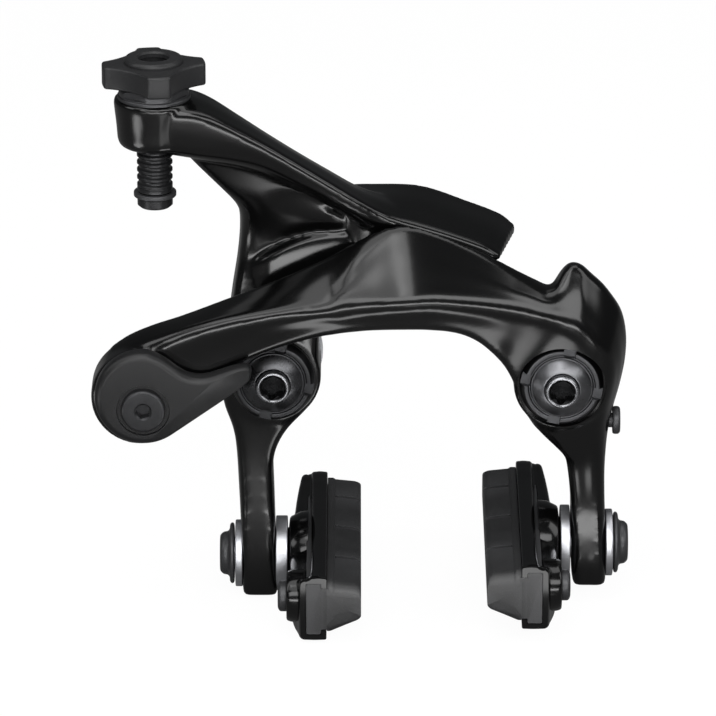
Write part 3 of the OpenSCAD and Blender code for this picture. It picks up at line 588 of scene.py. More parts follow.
def steel(name, tone, rough, metal):
    """Plain machined or coated steel with light scuffs."""
    p = Paint(name)
    stain = p.noise(380, 4, 0.6)
    scuff = p.noise(1500, 2, place=p.stretched((1, 1, 0.15))).rising(0.6, 0.75)
    worn = p.edge().rising(0.3, 0.9)
    colour = p.mix(stain, grey(tone * 0.75), grey(tone * 1.2))
    colour = p.mix(worn * 0.4, colour, grey(min(0.8, tone * 2.2)))
    colour = p.mix(scuff * 0.3, colour, grey(tone * 0.6))
    height = p.noise(2400, 2) + scuff
    return p.surface({
        "Base Color": colour, "Metallic": metal, "Roughness": rough - 0.03 + stain * 0.1,
        "Normal": p.bump(height, 0.2, 0.00004),
    })


def pad_rubber(name):
    """Brake pad compound: dark, dusty grey specks, open grain, slightly shiny on its rubbed places."""
    p = Paint(name)
    fine = p.noise(2600, 4, 0.7)
    speck = p.cells(2100).rising(0.02, 0.28)
    dust = p.noise(260, 4, 0.6)
    colour = p.mix(dust, grey(0.006), grey(0.014))
    colour = p.mix((1 - speck) * 0.35, colour, grey(0.05))
    colour = p.mix(p.edge().rising(0.2, 0.9) * 0.4, colour, grey(0.05))
    height = fine * 0.8 + speck * 0.3
    return p.surface({
        "Base Color": colour, "Roughness": 0.34 + dust * 0.2, "Normal": p.bump(height, 0.45, 0.00008),
        "Specular IOR Level": 0.5,
    })


def polymer(name, colour_low, colour_high, rough):
    """Moulded polymer with a faint mottle."""
    p = Paint(name)
    mottle = p.noise(600, 3)
    return p.surface({
        "Base Color": p.mix(mottle, colour_low, colour_high), "Roughness": rough + mottle * 0.1,
        "Normal": p.bump(p.noise(3000, 2), 0.15, 0.00004),
    })


arm_black = painted_black("arm_black", 0.16)
holder_black = painted_black("holder_black", 0.14)
lever_grey = satin_grey("lever_grey", 0.006, 0.36, 0.5)
knob_black = satin_grey("knob_black", 0.012, 0.4, 0.3)
ring_steel, dome_steel, bolt_steel = {}, {}, {}
# The left lock ring and dome washer are painted darker than the right ones: one steel, given a lit tone on
# the right and a shaded tone on the left as painted light and shade.
for side, ring_side_shade, dome_side_shade in ((1, (0.075, 0.3), (0.17, 0.28)), (-1, (0.045, 0.28), (0.1, 0.26))):
    name, centre = SIDES[side], PIVOT[side]
    ring_steel[side] = turned_steel("ring_steel_" + name, *ring_side_shade, centre, "y", 0.12)
    dome_steel[side] = turned_steel("dome_steel_" + name, *dome_side_shade, centre, "y", 0.08)
    # The bolt's socket gets painted shade out to 2.62 mm from its axis.
    bolt_steel[side] = turned_steel("bolt_steel_" + name, 0.33, 0.24, centre, "y", 0.08, painted_socket_shade_r=2.62)
cap_steel = steel("cap_steel", 0.032, 0.3, 0.8)
collar_steel = steel("collar_steel", 0.06, 0.34, 0.8)
washer_steel = {
    side: turned_steel("washer_steel_" + SIDES[side], 0.52, 0.36, SHOE_AT[side], "x", 0.1)
    for side in (1, -1)
}
screw_black = steel("screw_black", 0.045, 0.34, 0.6)
barrel_black = steel("barrel_black", 0.022, 0.24, 0.7)
plain_steel = steel("plain_steel", 0.4, 0.32, 1.0)
rubber = pad_rubber("pad_rubber")
bush_polymer = polymer("bush_polymer", (0.5, 0.42, 0.27, 1), (0.62, 0.53, 0.36, 1), 0.45)
roller_polymer = polymer("roller_polymer", (0.62, 0.6, 0.53, 1), (0.76, 0.74, 0.67, 1), 0.4)

# The two arms, as rows of stations in millimetres, each with the corners of one cross-section.

# Columns: outer back x z y, top crease x z y, ridge x z y, inner x z, lip y, inner back y.
RIGHT_ROWS = [
    [-59.0, 9.0, -20.4, -58.6, 8.0, -25.2, -57.8, 5.8, -27.0, -55.0, -4.0, -27.2, -20.4],
    [-55.8, 11.2, -20.4, -55.4, 10.1, -26.2, -54.9, 7.9, -27.8, -52.4, -3.4, -27.6, -20.4],
    [-52.0, 12.9, -20.4, -51.8, 11.7, -26.9, -51.6, 9.7, -28.3, -49.6, -3.0, -28.0, -20.4],
    [-46.0, 14.9, -20.4, -45.8, 14.2, -27.8, -45.6, 12.6, -28.8, -43.4, 0.8, -28.4, -20.4],
    [-36.0, 18.9, -20.4, -36.0, 17.1, -28.7, -35.8, 15.6, -29.4, -33.8, 7.4, -28.6, -20.4],
    [-29.0, 21.8, -20.4, -28.8, 18.4, -29.1, -28.6, 16.8, -29.6, -27.8, 9.9, -28.4, -20.4],
    [-23.5, 24.2, -20.4, -22.9, 19.4, -29.1, -23.0, 17.6, -29.8, -22.4, 11.6, -28.2, -20.4],
    [-19.6, 26.1, -20.4, -19.0, 20.4, -28.5, -19.2, 18.3, -30.0, -18.6, 12.5, -28.0, -20.4],
    [-16.6, 27.6, -20.4, -16.6, 22.0, -27.6, -16.5, 18.8, -30.2, -16.0, 12.9, -27.9, -20.4],
    [-13.9, 29.2, -20.3, -13.8, 25.5, -26.0, -14.0, 19.2, -30.4, -13.6, 13.2, -27.7, -20.3],
    [-11.4, 30.6, -20.3, -11.4, 28.1, -24.6, -11.4, 19.4, -30.6, -11.0, 13.4, -27.5, -20.3],
    [-8.9, 31.9, -20.2, -8.9, 30.1, -23.2, -8.8, 19.7, -30.8, -8.6, 13.5, -27.3, -20.2],
    [-6.3, 32.8, -20.2, -6.4, 31.7, -22.0, -6.4, 19.9, -31.0, -6.2, 13.6, -27.3, -20.2],
    [-3.6, 33.2, -20.2, -3.6, 32.7, -21.4, -3.7, 20.1, -31.3, -3.6, 13.6, -27.2, -20.2],
    [-2.0, 33.2, -20.2, -2.0, 32.7, -21.3, -2.1, 20.3, -31.5, -2.1, 13.6, -27.2, -20.2],
    [-0.4, 32.9, -20.2, -0.5, 32.4, -21.3, -0.6, 20.4, -31.2, -0.6, 13.6, -27.1, -20.2],
    [2.6, 31.9, -20.2, 2.5, 31.4, -21.3, 2.4, 20.5, -30.6, 2.2, 13.4, -26.8, -20.2],
    [7.2, 30.1, -20.2, 7.0, 29.5, -21.4, 6.8, 20.0, -29.6, 6.6, 12.8, -26.4, -20.2],
    [14.4, 26.7, -19.8, 14.1, 26.0, -21.9, 13.0, 18.9, -28.1, 11.6, 10.3, -25.0, -19.8],
    [19.4, 23.8, -19.0, 19.1, 23.0, -22.4, 18.0, 17.8, -26.9, 14.9, 7.0, -23.8, -17.0],
    [23.2, 21.5, -18.2, 22.9, 20.7, -22.6, 21.9, 16.7, -26.1, 17.0, 4.0, -22.5, -12.0],
    [25.4, 20.2, -17.4, 25.3, 19.5, -22.4, 24.6, 15.8, -25.6, 18.0, 2.0, -21.9, -9.0],
    [26.4, 20.3, -16.4, 26.4, 19.9, -21.6, 26.3, 15.2, -25.3, 18.5, 0.8, -21.5, -7.0],
    [28.2, 22.8, -15.2, 28.2, 22.8, -19.4, 28.2, 14.3, -24.9, 19.0, -0.6, -20.9, -4.0],
    [29.7, 23.7, -14.4, 29.7, 24.4, -18.6, 29.8, 13.6, -24.7, 19.4, -1.4, -20.7, -2.4],
    [31.4, 22.9, -13.6, 31.3, 24.2, -18.3, 31.2, 12.7, -24.5, 19.7, -2.2, -20.6, -1.8],
    [33.6, 20.2, -12.0, 33.5, 22.2, -17.8, 33.0, 11.0, -24.2, 20.0, -3.4, -20.4, -1.8],
    [35.8, 17.6, -10.6, 35.8, 20.0, -17.2, 34.7, 9.0, -24.0, 20.4, -4.8, -20.3, -1.8],
    [37.7, 14.6, -9.0, 37.8, 17.2, -16.6, 36.0, 7.2, -23.7, 21.0, -6.2, -20.1, -1.8],
    [39.5, 11.4, -7.4, 39.5, 14.2, -16.0, 37.0, 5.2, -23.4, 21.8, -7.6, -19.9, -1.8],
    [40.6, 6.6, -5.6, 40.6, 9.4, -15.4, 37.7, 3.0, -22.8, 22.8, -9.2, -19.6, -1.8],
    [40.6, 1.6, -4.0, 40.6, 4.0, -15.0, 37.8, 0.4, -22.0, 24.2, -10.8, -19.4, -1.8],
    [39.7, -3.0, -3.0, 39.7, -1.4, -14.8, 37.4, -2.8, -20.8, 25.6, -12.4, -19.0, -2.4],
    [38.4, -7.2, -2.8, 38.4, -6.6, -14.8, 36.6, -6.6, -19.4, 27.2, -14.2, -18.4, -3.6],
    [37.4, -12.0, -3.6, 37.4, -12.0, -14.8, 35.8, -12.0, -17.8, 28.8, -16.4, -17.4, -4.4],
    [36.9, -18.0, -4.8, 36.9, -18.0, -15.0, 35.6, -18.0, -16.8, 29.4, -18.6, -16.6, -4.8],
    [36.9, -26.0, -5.6, 36.9, -26.0, -15.4, 35.6, -26.0, -16.8, 30.3, -26.0, -16.6, -5.6],
    [37.2, -34.0, -6.0, 37.2, -34.0, -16.8, 36.0, -34.0, -18.2, 30.4, -34.0, -18.0, -6.0],
    [37.2, -39.0, -6.6, 37.2, -39.0, -17.6, 36.2, -39.0, -18.8, 30.5, -39.0, -18.6, -6.6],
    [37.2, -42.3, -7.2, 37.2, -42.3, -17.4, 36.2, -42.3, -18.6, 30.7, -42.3, -18.4, -7.2],
]

# Columns: top back x z, ridge x z, belly x z, low x z, then y of back, ridge, belly and low edge.
BEAM_ROWS = [
    [-53.5, 57.6, -53.5, 56.9, -53.3, 49.8, -53.0, 48.4, -11.6, -22.6, -22.4, -20.8],
    [-47.4, 57.9, -47.2, 57.1, -47.0, 48.9, -46.6, 47.2, -10.8, -24.4, -23.8, -21.6],
    [-43.6, 57.8, -43.6, 57.3, -43.6, 48.4, -43.6, 46.6, -10.8, -24.7, -23.9, -21.2],
    [-40.6, 56.8, -40.6, 56.5, -40.7, 48.0, -40.8, 45.8, -11.5, -24.5, -23.8, -20.8],
    [-35.4, 53.7, -35.5, 54.0, -35.7, 47.2, -36.0, 44.8, -12.4, -24.2, -23.5, -20.2],
    [-30.4, 50.3, -30.4, 51.1, -30.7, 46.0, -31.2, 43.4, -12.6, -23.9, -23.2, -19.8],
    [-23.6, 45.7, -23.6, 46.7, -24.0, 42.8, -24.8, 40.2, -12.2, -23.2, -22.6, -19.4],
    [-16.9, 41.2, -16.9, 42.2, -17.4, 38.8, -18.4, 36.6, -11.0, -22.4, -21.8, -19.0],
    [-11.4, 37.7, -11.4, 38.3, -12.0, 35.4, -13.0, 33.4, -10.0, -21.4, -20.9, -18.6],
    [-6.4, 35.4, -6.6, 35.0, -7.2, 32.8, -8.4, 30.8, -8.0, -19.9, -19.8, -18.2],
    [-1.0, 33.5, -1.0, 32.8, -1.6, 30.8, -2.2, 28.8, -8.0, -19.4, -19.4, -18.2],
    [1.5, 32.4, 1.5, 31.8, 0.8, 30.4, 0.2, 28.6, -8.0, -19.2, -19.2, -18.0],
]

# Columns: front x, front top z, back x, back top z, low z, back y, front y.
WING_ROWS = [
    [-24.0, 33.8, -24.0, 33.0, 26.0, -6.4, -10.6],
    [-16.0, 35.6, -16.0, 35.0, 23.4, -2.6, -13.4],
    [-8.0, 34.8, -8.0, 35.3, 22.4, -1.4, -18.8],
    [0.0, 32.6, 0.6, 35.0, 22.2, -1.4, -19.4],
    [8.6, 29.8, 9.6, 31.9, 22.6, -1.4, -19.4],
    [13.4, 27.9, 16.0, 29.4, 24.0, -1.6, -19.4],
    [14.5, 27.3, 17.5, 28.7, 24.6, -1.9, -19.4],
    [15.0, 26.7, 18.5, 27.5, 25.2, -2.3, -19.2],
]

# Columns: z, left x, right x, front y at the left, front y at the right, back y.
COLUMN_ROWS = [
    [50.0, -47.0, -38.0, -20.0, -20.0, -13.0],
    [45.5, -43.6, -28.0, -19.4, -18.6, -11.0],
    [41.8, -40.6, -23.0, -17.8, -16.8, -9.0],
    [37.6, -37.2, -18.6, -16.0, -15.2, -6.6],
    [34.2, -34.9, -15.0, -14.2, -15.8, -5.0],
    [31.8, -34.2, -12.2, -13.4, -16.1, -4.2],
    [28.0, -34.2, -11.6, -12.6, -14.4, -3.5],
    [22.6, -34.7, -13.4, -12.4, -13.0, -2.8],
    [16.5, -35.7, -17.2, -14.4, -14.4, -1.8],
    [8.0, -36.8, -19.2, -16.2, -16.2, -1.8],
    [0.0, -38.2, -19.0, -16.2, -16.2, -1.8],
    [-6.0, -37.8, -20.4, -16.1, -16.1, -2.2],
    [-11.0, -35.9, -25.2, -16.0, -16.0, -3.4],
    [-16.5, -35.1, -28.0, -16.3, -16.3, -4.8],
    [-24.0, -34.7, -28.0, -17.2, -17.2, -5.6],
    [-32.0, -34.3, -27.8, -18.2, -18.2, -6.0],
    [-39.0, -34.2, -27.6, -18.8, -18.8, -6.2],
    [-44.4, -34.1, -27.3, -18.6, -18.6, -7.0],
]

# Columns: x, top z, low z, back y, edge y, low y.
RIB_ROWS = [
    [-33.4, 20.6, 14.0, -8.0, -10.6, -11.6],
    [-32.0, 22.4, 14.0, -8.0, -12.9, -13.8],
    [-29.8, 24.3, 14.4, -8.0, -14.5, -15.4],
    [-27.0, 26.0, 15.4, -8.0, -15.0, -16.0],
    [-22.3, 28.1, 17.0, -8.0, -15.2, -16.3],
    [-16.6, 29.3, 20.0, -8.0, -15.4, -16.4],
    [-12.4, 29.5, 22.0, -8.0, -15.9, -16.8],
]


def corners_of(rows, *columns):
    """Rings for band(): each corner takes its x, y and z from three columns of the rows."""
    return np.stack([rows[:, list(column)] for column in columns], 1)


SPRING_POCKET_R = 7.9
SPRING_POCKET_DEPTH = 8.6
BUSH_SEAT_R = 6.5
RING_RECESS_R = 8.65


def pivot_holes(side):
    """Spring pocket, bush seat and lock ring recess of one arm. Each runs out past the faces it opens."""
    centre = PIVOT[side]
    behind, ahead = 5, -40
    return [
        rod("y", SPRING_POCKET_R, -SPRING_POCKET_DEPTH, behind, centre),
        rod("y", BUSH_SEAT_R, -STACK[side] - 8, behind, centre),
        rod("y", RING_RECESS_R, ahead, -STACK[side], centre, 96),
    ]


ROLLER_ROOM_R = 4.6
CLOSE_ANGLE = 8.2


def roller_room():
    """Cuts for the step roller on its way through the left arm, in the left arm's own frame. Both arms
    turn by the same angle, each about its own pivot, so the roller is turned twice."""
    half, height = PIVOT[1][0], ROLLER[2]
    cuts = []
    for angle in np.radians(np.linspace(0, CLOSE_ANGLE, 10)):
        c, s = math.cos(angle), math.sin(angle)
        x, z = half - half * c + height * s, height * c + half * s
        x, z = -half + (x + half) * c + z * s, z * c - (x + half) * s
        cuts.append(rod("y", ROLLER_ROOM_R, -30, 5, (x + 0.1, 0, z)))
    return cuts


SLOT_R = 3.05
SLOT_HALF = 2
LEG_X = 32


def slot_hole(side):
    """Upright slot for a shoe stud: two half circles joined by straight sides."""
    turn = np.linspace(0, math.pi, 17)
    across, up = SLOT_R * np.cos(turn), SLOT_HALF + SLOT_R * np.sin(turn)
    half = np.stack([across, up], 1)
    outline = np.concatenate([half, -half]) + np.array(SHOE_AT[side][1:])
    x = side * LEG_X
    return plate(outline, [(x - 12, 0), (x + 12, 0)], "x")


def pivot_boss(side, front):
    """Round body of an arm about its pivot, from the mounting side to its front face."""
    profile = [(-MOUNT_GAP, 0), (-MOUNT_GAP, PIVOT_BOSS_R), (-front, PIVOT_BOSS_R), (-front, 0)]
    return lathe(rounded(profile, (0, 0.6, 0.45, 0), closed=False), "y", PIVOT[side], 128)


RIGHT_BOSS_FRONT = 20.3
LEFT_BOSS_FRONT = 16.4
LEVER_END_R = 9.6
FOLD_X = -2


def build_right_arm():
    """Front arm: a skin through the stations, softer around its fold, joined with the round end that
    carries the lever and with the pivot boss."""
    rows, soft = flow(RIGHT_ROWS, 0.4, 0.6), flow(RIGHT_ROWS, 0.4, 1.9)
    fold = bell(rows[:, 3:4], FOLD_X, 4.5)
    rows = rows * (1 - fold) + soft * fold
    corners = corners_of(rows, (0, 2, 1), (3, 5, 4), (6, 8, 7), (9, 11, 10), (9, 12, 10))
    x = rows[:, 3]
    crease = 1.8 - bell(x, 26, 4) * (rows[:, 10] > -4)
    ridge = 2.6 + 1.6 * np.clip((-38 - x) / 8, 0, 1)
    skin = band(corners, (1.6, crease, ridge, 1.5, 1.2), (0.1, 0.2, -0.1, 0.1, 0), 7, 6)
    arch = grid_shell(round_both(skin, 0.6, 0.8))
    back, front = -20.2, -28.9
    end = rounded([(back, 0), (back, LEVER_END_R), (front, LEVER_END_R), (front, 0)], (0, 0.9, 1.2, 0),
                  closed=False)
    parts = [arch, lathe(end, "y", (-53.4, 0, 0.4)), pivot_boss(1, RIGHT_BOSS_FRONT)]
    piece("right_arm", "right_arm_set", arm_black, parts, [
        *pivot_holes(1),
        rod("y", 4.55, -35, -10, LEVER),
        rod("y", 2.2, -27.5, -10, ROLLER),
        rod("x", 1.5, 28, 45, CENTRING, 32),
        slot_hole(1),
    ], blend=12)


def build_left_arm():
    """Rear arm: beam, wing plate, column with its leg, and rib, joined with the adjuster's boss and the
    pivot boss. The column's front edges are rounder where it meets the beam and sharper down the leg."""
    corners = corners_of(flow(BEAM_ROWS, 0.4, 1.0), (0, 8, 1), (2, 9, 3), (4, 10, 5), (6, 11, 7), (6, 8, 7))
    beam = band(corners, (1.6, 1.6, 2.4, 1.6, 1.2), (0.3, 0.1, 0, 0, 0), 7, 6)
    corners = corners_of(flow(WING_ROWS, 0.4, 0.8), (2, 5, 3), (0, 6, 1), (0, 6, 4), (2, 5, 4))
    wing = band(corners, (1.2, 0.9, 0.8, 0.8), (0.35, 0.15, 0, 0), 6, 8)
    rows = flow(COLUMN_ROWS, 0.5, 1.6)
    z = rows[:, 0]
    front = 2.2 - 1.2 * np.clip((-26 - z) / 6, 0, 1) + 1.6 * bell(z, 31, 4)
    corners = corners_of(rows, (1, 3, 0), (1, 5, 0), (2, 5, 0), (2, 4, 0))
    column = band(corners, (front, 1.4, 1.4, front), (0.25, 0, 0, 0), 6, 6)
    corners = corners_of(flow(RIB_ROWS, 0.4, 0.8), (0, 3, 1), (0, 4, 1), (0, 5, 2), (0, 3, 2))
    rib = band(corners, (0.8, 0.9, 0.8, 0.8), (0, 0, 0, 0), 6, 6)
    boss = [(48.2, 0), (48.2, 7.0), (52, 7.2), (58, 7.85), (58, 0)]
    piece("left_arm", "left_arm_set", arm_black, [
        grid_shell(round_both(beam, 0.8, 0.8)),
        grid_shell(round_both(wing, 0.4, 0.8)),
        grid_shell(round_both(column, 0.5, 0.8)),
        grid_shell(round_both(rib, 0.5, 0.5)),
        lathe(rounded(boss, (0, 3.4, 2, 0.5, 0), 8, False), "z", ADJUSTER, 128),
        pivot_boss(-1, LEFT_BOSS_FRONT),
    ], [
        *pivot_holes(-1),
        *roller_room(),
        rod("z", COLLAR_BORE_R, 40, 70, ADJUSTER),
        rod("z", 7.1, COLLAR_LOW, 62, ADJUSTER, 96),
        slot_hole(-1),
    ], blend=16)


# Small pieces: rings, screws, washers, knob, lever and shoes. Their profiles are rows of (place along
# the axis, radius), and a second list gives the rounding of each corner.


def ring(corners, reach, axis, centre):
    """Solid with a bore: a closed outline of (place along the axis, radius), corners rounded, turned."""
    return lathe(rounded(corners, reach, 4), axis, centre, 128, closed=True)


def spun(corners, reach, axis, centre, around=128):
    """Solid without a bore: an open outline from pole to pole, corners rounded, turned."""
    return lathe(rounded(corners, reach, 4, False), axis, centre, around)


def prism(sides, radius, start, end, axis, centre, turn=0.0):
    """Straight prism on a regular polygon."""
    a = np.arange(sides) / sides * TAU + turn
    along, side, other = AXES[axis]
    outline = np.stack([centre[side] + radius * np.cos(a), centre[other] + radius * np.sin(a)], 1)
    return plate(outline, [(centre[along] + start, 0), (centre[along] + end, 0)], axis)


def lobed(middle, swing, lobes, start, end, axis, centre, turn=0.0):
    """Straight prism whose radius is middle + swing cos(lobes (t - turn))."""
    t = np.arange(120) / 120 * TAU
    r = middle + swing * np.cos(lobes * (t - turn))
    _, side, other = AXES[axis]
    outline = np.stack([centre[side] + r * np.cos(t), centre[other] + r * np.sin(t)], 1)
    return plate(outline, [(start, 0), (end, 0)], axis)


def round_about(degrees):
    """Outward and sideways directions at an angle round a middle."""
    t = math.radians(degrees)
    return np.array([math.cos(t), math.sin(t)]), np.array([-math.sin(t), math.cos(t)])


def box_about(middle, out, along, near, far, half):
    """Rectangle on a radius: from `near` to `far` outwards, `half` wide to each side."""
    corners = ((near, -half), (far, -half), (far, half), (near, half))
    return [middle + out * r + along * w for r, w in corners]


def on_shoe(shell, side, pitch=0.0):
    """Shell drawn round the left shoe's stud, tipped about it and moved to its side of the brake."""
    x, y, z = shell[0].T
    c, s = math.cos(pitch), math.sin(pitch)
    return np.stack([-side * x, y * c - z * s, y * s + z * c], 1) + SHOE_AT[side], shell[1]


def build_lock_ring(side):
    """Ring with a bevelled face, a fine groove inside its rim and four spanner notches."""
    bore, rim = 5.05, 8.15
    back = -STACK[side] - RING_GAP
    front = back - RING_THICK
    groove = front + 0.35
    body = ring(
        [(back, bore), (back, rim), (back - 1.0, rim), (front + 0.25, 7.5), (front, 7.25), (front, 6.55),
         (groove, 6.4), (groove, 6.15), (front, 6.0), (front, bore)],
        (0.1, 0.2, 0.3, 0.3, 0.15, 0.12, 0.1, 0.1, 0.12, 0.1), "y", PIVOT[side])
    middle = np.array([0.0, PIVOT[side][0]])
    notches = []
    for quarter in range(4):
        along, out = round_about(12 + 90 * quarter)
        box = box_about(middle, out, along, 6.15, 9.5, 1.2)
        notches.append(plate(rounded(box, 0.25, 3), [(front - 1, 0), (front + 1.1, 0)], "y"))
    name, paint = SIDES[side] + "_lock_ring", ring_steel[side]
    piece(name, "frame_side", paint, [body], notches, sharp=30)


def build_dome_washer(side):
    """Washer with a ball-shaped face, sunk in the middle for the bolt's head."""
    front = -STACK[side] - RING_GAP - RING_THICK
    ball, reach, bore, well = 8.2, 5.75, 3.12, 3.37
    first = math.asin(reach / ball)
    a = np.linspace(first, math.asin(3.62 / ball), 24)
    arc = np.stack([front - 0.22 - ball * (np.cos(a) - math.cos(first)), ball * np.sin(a)], 1)
    lip = arc[-1, 0]
    profile = np.concatenate([
        [[front, bore], [front, 5.6], [front - 0.06, 5.72]], arc,
        [[lip - 0.02, 3.5], [lip + 0.1, 3.4], [lip + 0.3, well], [front - 0.6, well], [front - 0.6, bore]],
    ])
    body = lathe(profile, "y", PIVOT[side], 160, closed=True)
    piece(SIDES[side] + "_dome_washer", "frame_side", dome_steel[side], [body], sharp=40)


def build_frame_bolt(side):
    """Bolt: bevelled head with a six-lobed socket, plain shank, thread behind the mounting face."""
    centre = PIVOT[side]
    front = -STACK[side] - RING_GAP - RING_THICK
    shank, root, crest = 2.82, 2.62, 2.98
    tooth = np.array([[0.6, root], [1.0, crest], [1.15, crest]])
    turns = np.stack([np.arange(11), np.zeros(11)], 1)
    thread = (turns[:, None] + tooth).reshape(-1, 2)
    profile = np.concatenate([
        [[front - 3.2, 0], [front - 3.2, 2.85], [front - 3.12, 3.02], [front - 2.85, 3.25]],
        [[front - 2.6, 3.3], [front - 0.7, 3.3], [front - 0.62, 3.2], [front - 0.62, shank], [0, shank]],
        thread, [[11.8, 2.5], [12.0, 2.3], [12.0, 0]],
    ])
    body = lathe(profile, "y", centre)
    piece(SIDES[side] + "_frame_bolt", "frame_side", bolt_steel[side], [body], [
        lobed(2.22, 0.3, 6, front - 4, front - 0.5, "y", centre, 0.12),
        lathe([[front - 4, 3.7], [front - 2.75, 2.2], [front - 2.7, 0]], "y", centre),
    ])


def build_knob():
    """Knob with four flat-ended lobes joined by hollow sides, and a raised ring round its bore."""
    lobe_r, lobe_half, hollow_r, hollow_from = 9.75, 2.2, 12.3, 19.5
    low, high = 60.45, 64.8
    outline = []
    for quarter in range(4):
        out, along = round_about(98 + 90 * quarter)
        ends = [out * lobe_r - along * lobe_half, out * (lobe_r + 0.2), out * lobe_r + along * lobe_half]
        middle = (out + along) / math.sqrt(2) * hollow_from
        first = np.arctan2(*(ends[2] - middle)[::-1])
        last = np.arctan2(*(along * lobe_r + out * lobe_half - middle)[::-1])
        swing = (last - first + math.pi) % TAU - math.pi
        a = first + swing * np.linspace(0.09, 0.91, 13)
        hollow = middle + hollow_r * np.stack([np.cos(a), np.sin(a)], 1)
        outline += [*ends, *hollow]
    reach = np.tile([0.75, 3.0, 0.75] + [2.0] * 13, 4)
    outline = rounded(outline, reach, 5) + np.array(ADJUSTER[:2])
    body = plate(outline, edge_levels(low, high, 0.45, 0.5, 5), "z")
    top = spun([(64.0, 0), (64.0, 5.75), (65.35, 5.72), (65.95, 5.25), (65.95, 0)],
               (0, 0.1, 0.3, 0.25, 0), "z", ADJUSTER)
    foot = spun([(60.3, 0), (60.3, 6.3), (61.4, 6.4), (61.4, 0)], (0, 0.15, 0.1, 0), "z", ADJUSTER)
    skirt = lathe([[64.72, 6.2], [64.9, 5.7], [65.0, 0]], "z", ADJUSTER)
    piece("adjuster_knob", "knob", knob_black, [body, top, foot, skirt], [
        rod("z", COLLAR_BORE_R, 59, 64.9, ADJUSTER, 96),
        rod("z", 2.95, 59, 70, ADJUSTER, 96),
        lathe([[65.6, 0], [65.6, 2.95], [66.2, 3.5], [66.2, 0]], "z", ADJUSTER),
    ], sharp=30)


def build_collar():
    """Collar in the boss: a round foot, and a step with four shallow flats that the knob clicks over."""
    low, bore = COLLAR_LOW, COLLAR_BORE_R
    foot = ring([(low, bore), (low, 6.9), (56.8, 7.05), (58.4, 7.05), (58.6, 6.85), (58.6, bore)],
                (0.1, 0.1, 0.1, 0.2, 0.15, 0.1), "z", ADJUSTER)
    step = ring([(58.4, bore), (58.4, 6.75), (59.7, 6.75), (60.18, 6.3), (60.18, bore)],
                (0.1, 0.1, 0.3, 0.25, 0.1), "z", ADJUSTER)
    middle, flats = np.array(ADJUSTER[:2]), []
    for quarter in range(4):
        box = box_about(middle, *round_about(55 + 90 * quarter), 6.2, 9, 3)
        flats.append(plate(box, [(58.75, 0), (61, 0)], "z"))
    piece("index_collar", "left_arm_set", collar_steel, [foot, step], flats, sharp=30)


def build_barrel():
    """Threaded tube: each groove follows a cosine of one pitch, between two plain ends."""
    low, top, pitch = 35.9, 61.5, 1.5
    z = np.arange(low + 4.2, top - 2.0, 0.1)
    tooth = np.clip(0.5 + 0.9 * np.cos(TAU * (z - low) / pitch), 0, 1)
    profile = np.concatenate([
        [[top, 2.62], [low + 16, 2.6], [low + 16, 1.0], [low, 1.0], [low, 2.9], [low + 0.45, 3.4]],
        [[low + 1.85, 3.42], [low + 2.1, 3.12], [low + 3.1, 3.12], [low + 3.3, 3.42], [low + 4.0, 3.42]],
        np.stack([z, 3.03 + 0.4 * tooth], 1), [[top - 1.9, 3.1], [top, 3.1]],
    ])
    body = lathe(profile, "z", ADJUSTER, closed=True)
    piece("adjuster_barrel", "barrel", barrel_black, [body], sharp=40)


def build_circlip():
    """Open spring clip in the barrel's groove."""
    body = ring([(38.05, 3.18), (38.05, 4.1), (38.95, 4.1), (38.95, 3.18)], 0.2, "z", ADJUSTER)
    box = box_about(np.array(ADJUSTER[:2]), *round_about(120), 1, 6, 1)
    gap = plate(box, [(37, 0), (40, 0)], "z")
    piece("barrel_circlip", "barrel", screw_black, [body], [gap])


def across_tail(points):
    """Points turned by 45 degrees about the y axis and moved to where the lever's tail begins."""
    x, y, z = points.T
    diagonal = 0.7071
    return np.stack([-44.2 + (x + z) * diagonal, y, 0.95 + (z - x) * diagonal], 1)


def build_lever():
    """Lever: a round end that runs through a hollow upper flank to a rounded tip, with a soft bevel."""
    centre, end_r = np.array([LEVER[0], 1.7]), 9.35
    back, front = -29.2, -32.8
    a = np.radians(np.arange(-54, -282, -6.0))
    round_side = centre + end_r * np.stack([np.cos(a), np.sin(a)], 1)
    flank = [(-49.6, 10.1), (-47.6, 8.7), (-45.8, 7.2), (-44.2, 6.35), (-42.4, 5.95), (-40.4, 6.1),
             (-38.2, 6.85)]
    tip = [(-34.9, 8.0), (-32.1, 8.3), (-31.9, 5.6), (-34.4, 3.3)]
    outline = rounded(np.concatenate([round_side, flank, tip])[:, ::-1], 1.7, 4)
    levels = [(back, 0.5), (back, 0.35), (-29.35, 0.1), (-29.7, 0.0), (-31.5, 0.0), (-31.9, 0.1),
              (-32.25, 0.3), (-32.52, 0.6), (-32.7, 0.95), (front, 1.2), (front - FACE_LIFT, 1.4)]
    facet = plate([(0, -32.83), (14, -31.0), (14, -36), (0, -36)], [(-16, 0), (16, 0)], "z")
    body = plate(outline, levels, "y")
    piece("quick_release_lever", "quick_release", lever_grey, [body], [
        shifted(facet, across_tail),
        lathe([[-40, 5.3], [-33.2, 5.3], [-32.75, 5.1], [-32.2, 5.06], [-32.2, 0]], "y", LEVER, 128),
        rod("y", 2.55, -40, -20, LEVER),
    ], sharp=30)


def build_lever_cap():
    """Cap screw in the middle of the lever, with a hexagon socket."""
    front, end, shank = -33.6, -24.0, 2.5
    body = spun([(front, 0), (front, 3.9), (-33.35, 4.2), (-32.25, 4.3), (-32.22, shank), (end, shank),
                 (end, 0)], (0, 0.4, 0.25, 0.1, 0.1, 0.2, 0), "y", LEVER)
    piece("lever_cap_screw", "quick_release", cap_steel, [body], [
        prism(6, 1.55, -40, -31.4, "y", LEVER, 0.26),
        lathe([[-34, 2.2], [-33.3, 1.4], [-33.3, 0]], "y", LEVER, 64),
    ], sharp=30)


